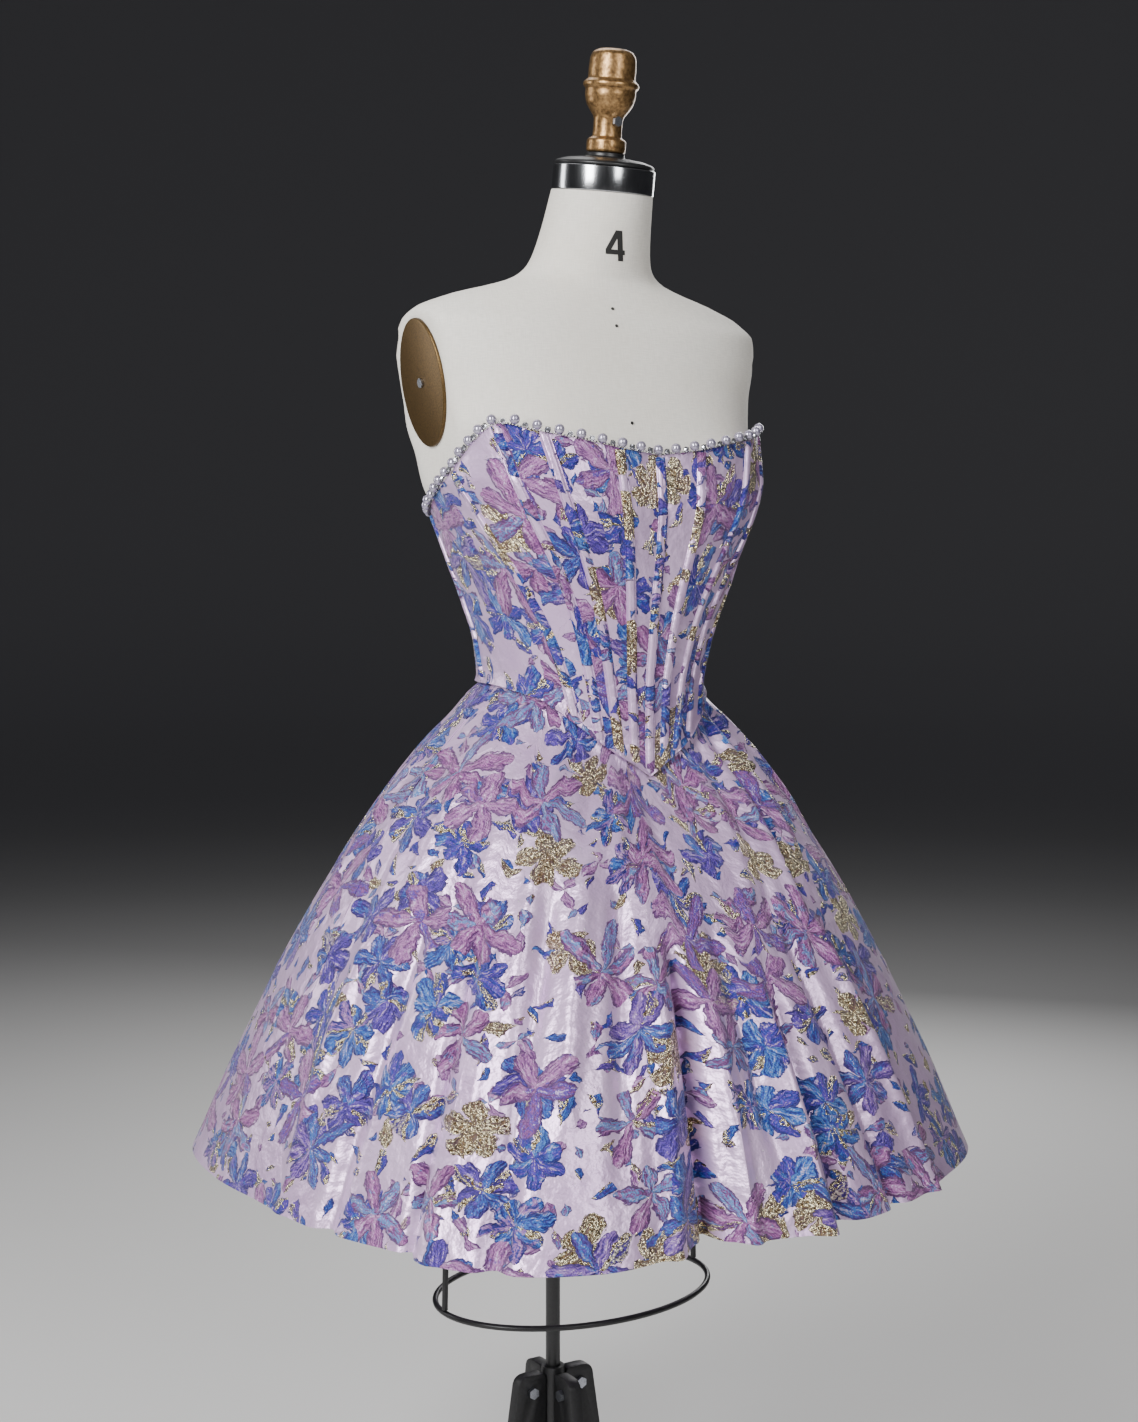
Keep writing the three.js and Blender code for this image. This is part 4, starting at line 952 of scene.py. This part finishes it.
def linen_place(s, t):
    angle, z = linen_angle_height(s, t)
    point = form_point(angle, z)
    inward = (Vector((0, centre_line(z), point.z)) - point).normalized()
    return point + inward * NECK_SEAM_DEPTH * bell(z - NECK_SEAM, NECK_SEAM_WIDTH)


def linen_cut(s, t):
    angle, z = linen_angle_height(s, t)
    return math.radians(angle) * form_radius(angle, z), z


bm = sheet_mesh(*LINEN_GRID, linen_place, linen_cut)
bmesh.ops.remove_doubles(bm, verts=bm.verts, dist=0.01)
turn_outward(bm, BODY_MIDDLE)
bmesh.ops.holes_fill(bm, edges=[e for e in bm.edges if e.is_boundary], sides=0)
cover = finish("linen_cover", bm, LINEN, "form_linen", "linen")
sharpen(cover)

# The form's size number, a plain bold one, printed on the front of the neck. Its strokes in mm, cut into small
# faces so that they follow the round neck.
NUMBER_STROKES = [
    [(2.4, -15.5), (8.4, -15.5), (8.4, 15.5), (2.4, 15.5)],
    [(-10.2, -9.1), (2.4, -9.1), (2.4, -4.1), (-10.2, -4.1)],
    [(8.4, -9.1), (10.6, -9.1), (10.6, -4.1), (8.4, -4.1)],
    [(-10.2, -4.1), (-4.3, -4.1), (2.4, 7.2), (2.4, 15.5), (1.2, 15.5)],
]
NUMBER_HEIGHT, NUMBER_ANGLE, NUMBER_SLANT, NECK_RADIUS, INK_PROUD = 1473, -9, -0.22, 55, 0.3
bm = bmesh.new()
for stroke in NUMBER_STROKES:
    bm.faces.new([bm.verts.new((x, y, 0)) for x, y in stroke])
for step in range(-5, 6):
    for axis in ((1, 0, 0), (0, 1, 0)):
        every = bm.verts[:] + bm.edges[:] + bm.faces[:]
        at = Vector(axis) * (step * (2.1 if axis[0] else 3.3) + 0.05)
        bmesh.ops.bisect_plane(bm, geom=every, plane_co=at, plane_no=axis)
for vert in bm.verts:
    z = NUMBER_HEIGHT + vert.co.y
    angle = NUMBER_ANGLE + math.degrees((vert.co.x + NUMBER_SLANT * vert.co.y) / NECK_RADIUS)
    point = form_point(angle, z)
    vert.co = point + (point - Vector((0, centre_line(z), point.z))).normalized() * INK_PROUD
bm.normal_update()
turn_outward(bm, (0, -30))
finish("size_number_print", bm, NUMBER_INK, None, "linen", smooth=False)

# Pins that mark the centre front: angle and height
PINS, PIN_HEAD = [(-9, 1409), (-9, 1392), (-6, 1299)], 1.7
pin = bmesh.new()
bmesh.ops.create_uvsphere(pin, u_segments=10, v_segments=6, radius=PIN_HEAD)
spots = [Matrix.Translation(form_point(angle, z)) for angle, z in PINS]
finish("centre_front_pins", scatter(pin, spots), NUMBER_INK, None, "linen")

# Neck band, cap and finial, leaning with the neck
NECK = Matrix.Translation((0, NECK_TOP_Y, NECK_TOP_Z)) @ Matrix.Rotation(math.radians(NECK_LEAN), 4, "X")
BAND = [(0, 0.3), (49.5, 0.3), (49.5, 24), (0, 24)]
CAP = [(0, 24.3), (47, 24.3), (48.5, 26), (47, 28.5), (38, 31.5), (21, 33.5), (19, 34), (18.5, 38), (0, 38)]
FINIAL = [
    (0, 38.3), (18, 38.3), (19, 40), (19, 49), (17.5, 51), (14.2, 52.5), (13.8, 60), (14.2, 71), (18, 76),
    (22.5, 83), (24.5, 91), (24.2, 97), (26.8, 99), (27, 102.5), (24.5, 104.5), (22.6, 106.5), (22.8, 116),
    (22, 126), (20, 131), (14, 134), (0, 135),
]
for name, profile, round_mm, material, node, slot in (
    ("brushed_neck_band", BAND, 1.2, STEEL, "neck_band", "steel"),
    ("domed_neck_cap", CAP, 1.5, BLACK, "neck_cap", "black_paint"),
    ("cast_finial", FINIAL, 2.5, GILT, "finial", "gold_paint"),
):
    shape = placed(lathe_mesh(rounded_profile(profile, round_mm), 96), NECK)
    finish(name, shape, material, node, slot)

# Arm plates: pressed ovals with a rounded rim
for name, side in SIDES:
    shape = bmesh.new()
    bmesh.ops.create_circle(shape, cap_ends=True, segments=72, radius=0.5)
    bmesh.ops.scale(shape, vec=(ARM_PLATE_TALL, ARM_PLATE_WIDTH, 1), verts=shape.verts)
    made = bmesh.ops.extrude_face_region(shape, geom=shape.faces[:])
    raised = [each for each in made["geom"] if isinstance(each, bmesh.types.BMVert)]
    bmesh.ops.translate(shape, vec=(0, 0, ARM_PLATE_THICK), verts=raised)
    rim = [e for e in shape.edges if all(v.co.z > 1 for v in e.verts)]
    bmesh.ops.bevel(shape, geom=rim, offset=1.6, segments=4, profile=0.5, affect="EDGES", material=-1)
    bmesh.ops.recalc_face_normals(shape, faces=shape.faces)
    stand_up = Matrix.Rotation(math.radians(90 * side), 4, "Y")
    lean = Matrix.Rotation(math.radians(ARM_LEAN * side), 4, "Y")
    where = Matrix.Translation((side * ARM_FACE, 0, ARM_HEIGHT)) @ lean @ Matrix.Translation((side * SEAM_GAP, 0, 0))
    placed(shape, where @ stand_up)
    finish(f"oval_arm_plate_{name}", shape, BRONZE, f"arm_plate_{name}", "bronze_paint")

# Pole, hem cage and stand
POLE_Y, POLE_RADIUS, POLE_FOOT = 51, 7.5, 45
POLE = [
    (0, POLE_FOOT), (POLE_RADIUS, POLE_FOOT), (POLE_RADIUS, LINEN_BOTTOM - 14), (38, LINEN_BOTTOM - 8),
    (38, LINEN_BOTTOM - SEAM_GAP), (0, LINEN_BOTTOM - SEAM_GAP),
]
SLEEVE = [(7.85, 22), (12, 22), (12, 330), (7.85, 330), (7.85, 22)]
ON_POLE = Matrix.Translation((0, POLE_Y, 0))
finish("turned_pole", placed(lathe_mesh(rounded_profile(POLE, 1), 48), ON_POLE), BLACK, "pole", "black_paint")
sleeve = placed(lathe_mesh(SLEEVE, 48), ON_POLE)
finish("stand_sleeve_tube", sleeve, CAST, "stand_sleeve", "cast_black", STAND_BODY, smooth=False)
RING_Z, RING_WIDE, RING_DEEP, RING_Y, WIRE = 427, 150, 108, 10, 3
ring = bmesh.new()
bmesh.ops.create_circle(ring, segments=12, radius=WIRE)
bmesh.ops.rotate(ring, cent=(0, 0, 0), matrix=Matrix.Rotation(math.pi / 2, 3, "X"), verts=ring.verts)
bmesh.ops.translate(ring, vec=(RING_WIDE, 0, 0), verts=ring.verts)
section = ring.verts[:] + ring.edges[:]
bmesh.ops.spin(ring, geom=section, cent=(0, 0, 0), axis=(0, 0, 1), angle=FULL_TURN, steps=96, use_merge=True)
for vert in ring.verts:
    flat = Vector((vert.co.x, vert.co.y, 0))
    wire_out = flat.length - RING_WIDE
    turn = math.atan2(flat.y, flat.x)
    middle = Vector((RING_WIDE * math.cos(turn), RING_DEEP * math.sin(turn), 0))
    across = Vector((RING_DEEP * math.cos(turn), RING_WIDE * math.sin(turn), 0)).normalized()
    vert.co = middle + across * wire_out + Vector((0, RING_Y, RING_Z + vert.co.z))
bmesh.ops.recalc_face_normals(ring, faces=ring.faces)
finish("hem_cage_ring_wire", ring, BLACK, "cage_ring", "black_paint")

for name in ("left", "back", "right", "front"):
    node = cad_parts[f"stand_leg_{name}"]
    leg = bmesh.new()
    leg.from_mesh(node.data)
    bmesh.ops.scale(leg, vec=(1000, 1000, 1000), verts=leg.verts)
    bmesh.ops.remove_doubles(leg, verts=leg.verts, dist=0.01)
    bmesh.ops.dissolve_limit(leg, angle_limit=math.radians(3), verts=leg.verts, edges=leg.edges)
    corners = [e for e in leg.edges if len(e.link_faces) == 2 and e.calc_face_angle() > math.radians(60)]
    bmesh.ops.bevel(leg, geom=corners, offset=1.4, segments=2, profile=0.5, affect="EDGES", material=-1)
    sharpen(finish(f"cast_leg_{name}", leg, CAST, f"stand_leg_{name}", "cast_black", STAND_BODY), 35)

# Carried-over solids take their real finishes
FINISHES = {
    "arm_plate_screw": ZINC, "finial_set_screw": ZINC, "stand_bolt": ZINC, "cage_strut": BLACK,
    "zip_slider": NICKEL, "zip_pull_tab": NICKEL,
}
for name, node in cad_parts.items():
    for start, material in FINISHES.items():
        if name.startswith(start):
            node.data.materials.clear()
            node.data.materials.append(material)

# Floor, light and camera
BOWL = [(0, 0), (6000, 0), (7200, 150), (8200, 700), (8800, 1700), (9000, 3000), (9000, 5200)]
bm = lathe_mesh(rounded_profile(BOWL, 900), 96)
if bm.faces[0].normal.z < 0:
    bmesh.ops.reverse_faces(bm, faces=bm.faces[:])
# Pale matt paint that turns to a darker grey on the backdrop's walls
floor_paint, add, surface = new_material("matt_floor_paint", Roughness=0.85)
away = add(VECTOR, add("ShaderNodeTexCoord", out=3), operation="LENGTH", out=1)
away = add(RANGE, away, 2.6, 7.5, 0, 1, interpolation_type="SMOOTHSTEP")
paint = add(MIX, {0: away, 6: colour("#DAD9D8"), 7: colour("#66666A")}, **BLEND)
dress(surface, Base_Color=paint)
solid_object("floor", bm, floor_paint)

world = bpy.data.worlds.new("studio")
bpy.context.scene.world = world
world.use_nodes = True
glow = world.node_tree.nodes["Background"].inputs
glow["Color"].default_value = colour("#D6D6DA")
glow["Strength"].default_value = 0.14

# Softboxes: place and the point they face in metres, size and power in watts
SOFTBOXES = [
    ("key_softbox", (-2.2, -1.17, 2.2), (0, 0, 1.0), (0.8, 2.0), 130),
    ("front_softbox", (0.0, -2.5, 2.2), (0, 0, 1.0), (0.6, 2.0), 38),
    ("side_softbox", (-2.0, 1.9, 1.8), (0, 0, 1.1), (0.5, 1.8), 22),
    ("back_softbox", (2.1, 1.9, 2.1), (0, 0, 1.0), (0.9, 2.0), 38),
    ("top_softbox", (0.3, 0.9, 3.1), (0, 0, 1.0), (1.2, 1.2), 16),
]
for name, place, towards, size, power in SOFTBOXES:
    lamp = bpy.data.lights.new(name, "AREA")
    lamp.shape = "RECTANGLE"
    lamp.size, lamp.size_y = size
    lamp.energy = power
    holder = new_object(name, lamp)
    holder.location = place
    holder.rotation_euler = (Vector(towards) - Vector(place)).to_track_quat("-Z", "Y").to_euler()

CAMERA_AZIMUTH, CAMERA_DISTANCE, CAMERA_HEIGHT = -32, 2.084, 1.170
CAMERA_PITCH, CAMERA_YAW, FOCAL_LENGTH, SENSOR_WIDTH = 4.14, 0.275, 52.76, 36
lens = bpy.data.cameras.new("camera")
lens.lens, lens.sensor_width = FOCAL_LENGTH, SENSOR_WIDTH
camera = new_object("camera", lens)
turn = math.radians(CAMERA_AZIMUTH)
camera.location = (CAMERA_DISTANCE * math.sin(turn), -CAMERA_DISTANCE * math.cos(turn), CAMERA_HEIGHT)
camera.rotation_euler = (math.radians(90 - CAMERA_PITCH), 0, math.radians(CAMERA_AZIMUTH + CAMERA_YAW))
bpy.context.scene.camera = camera
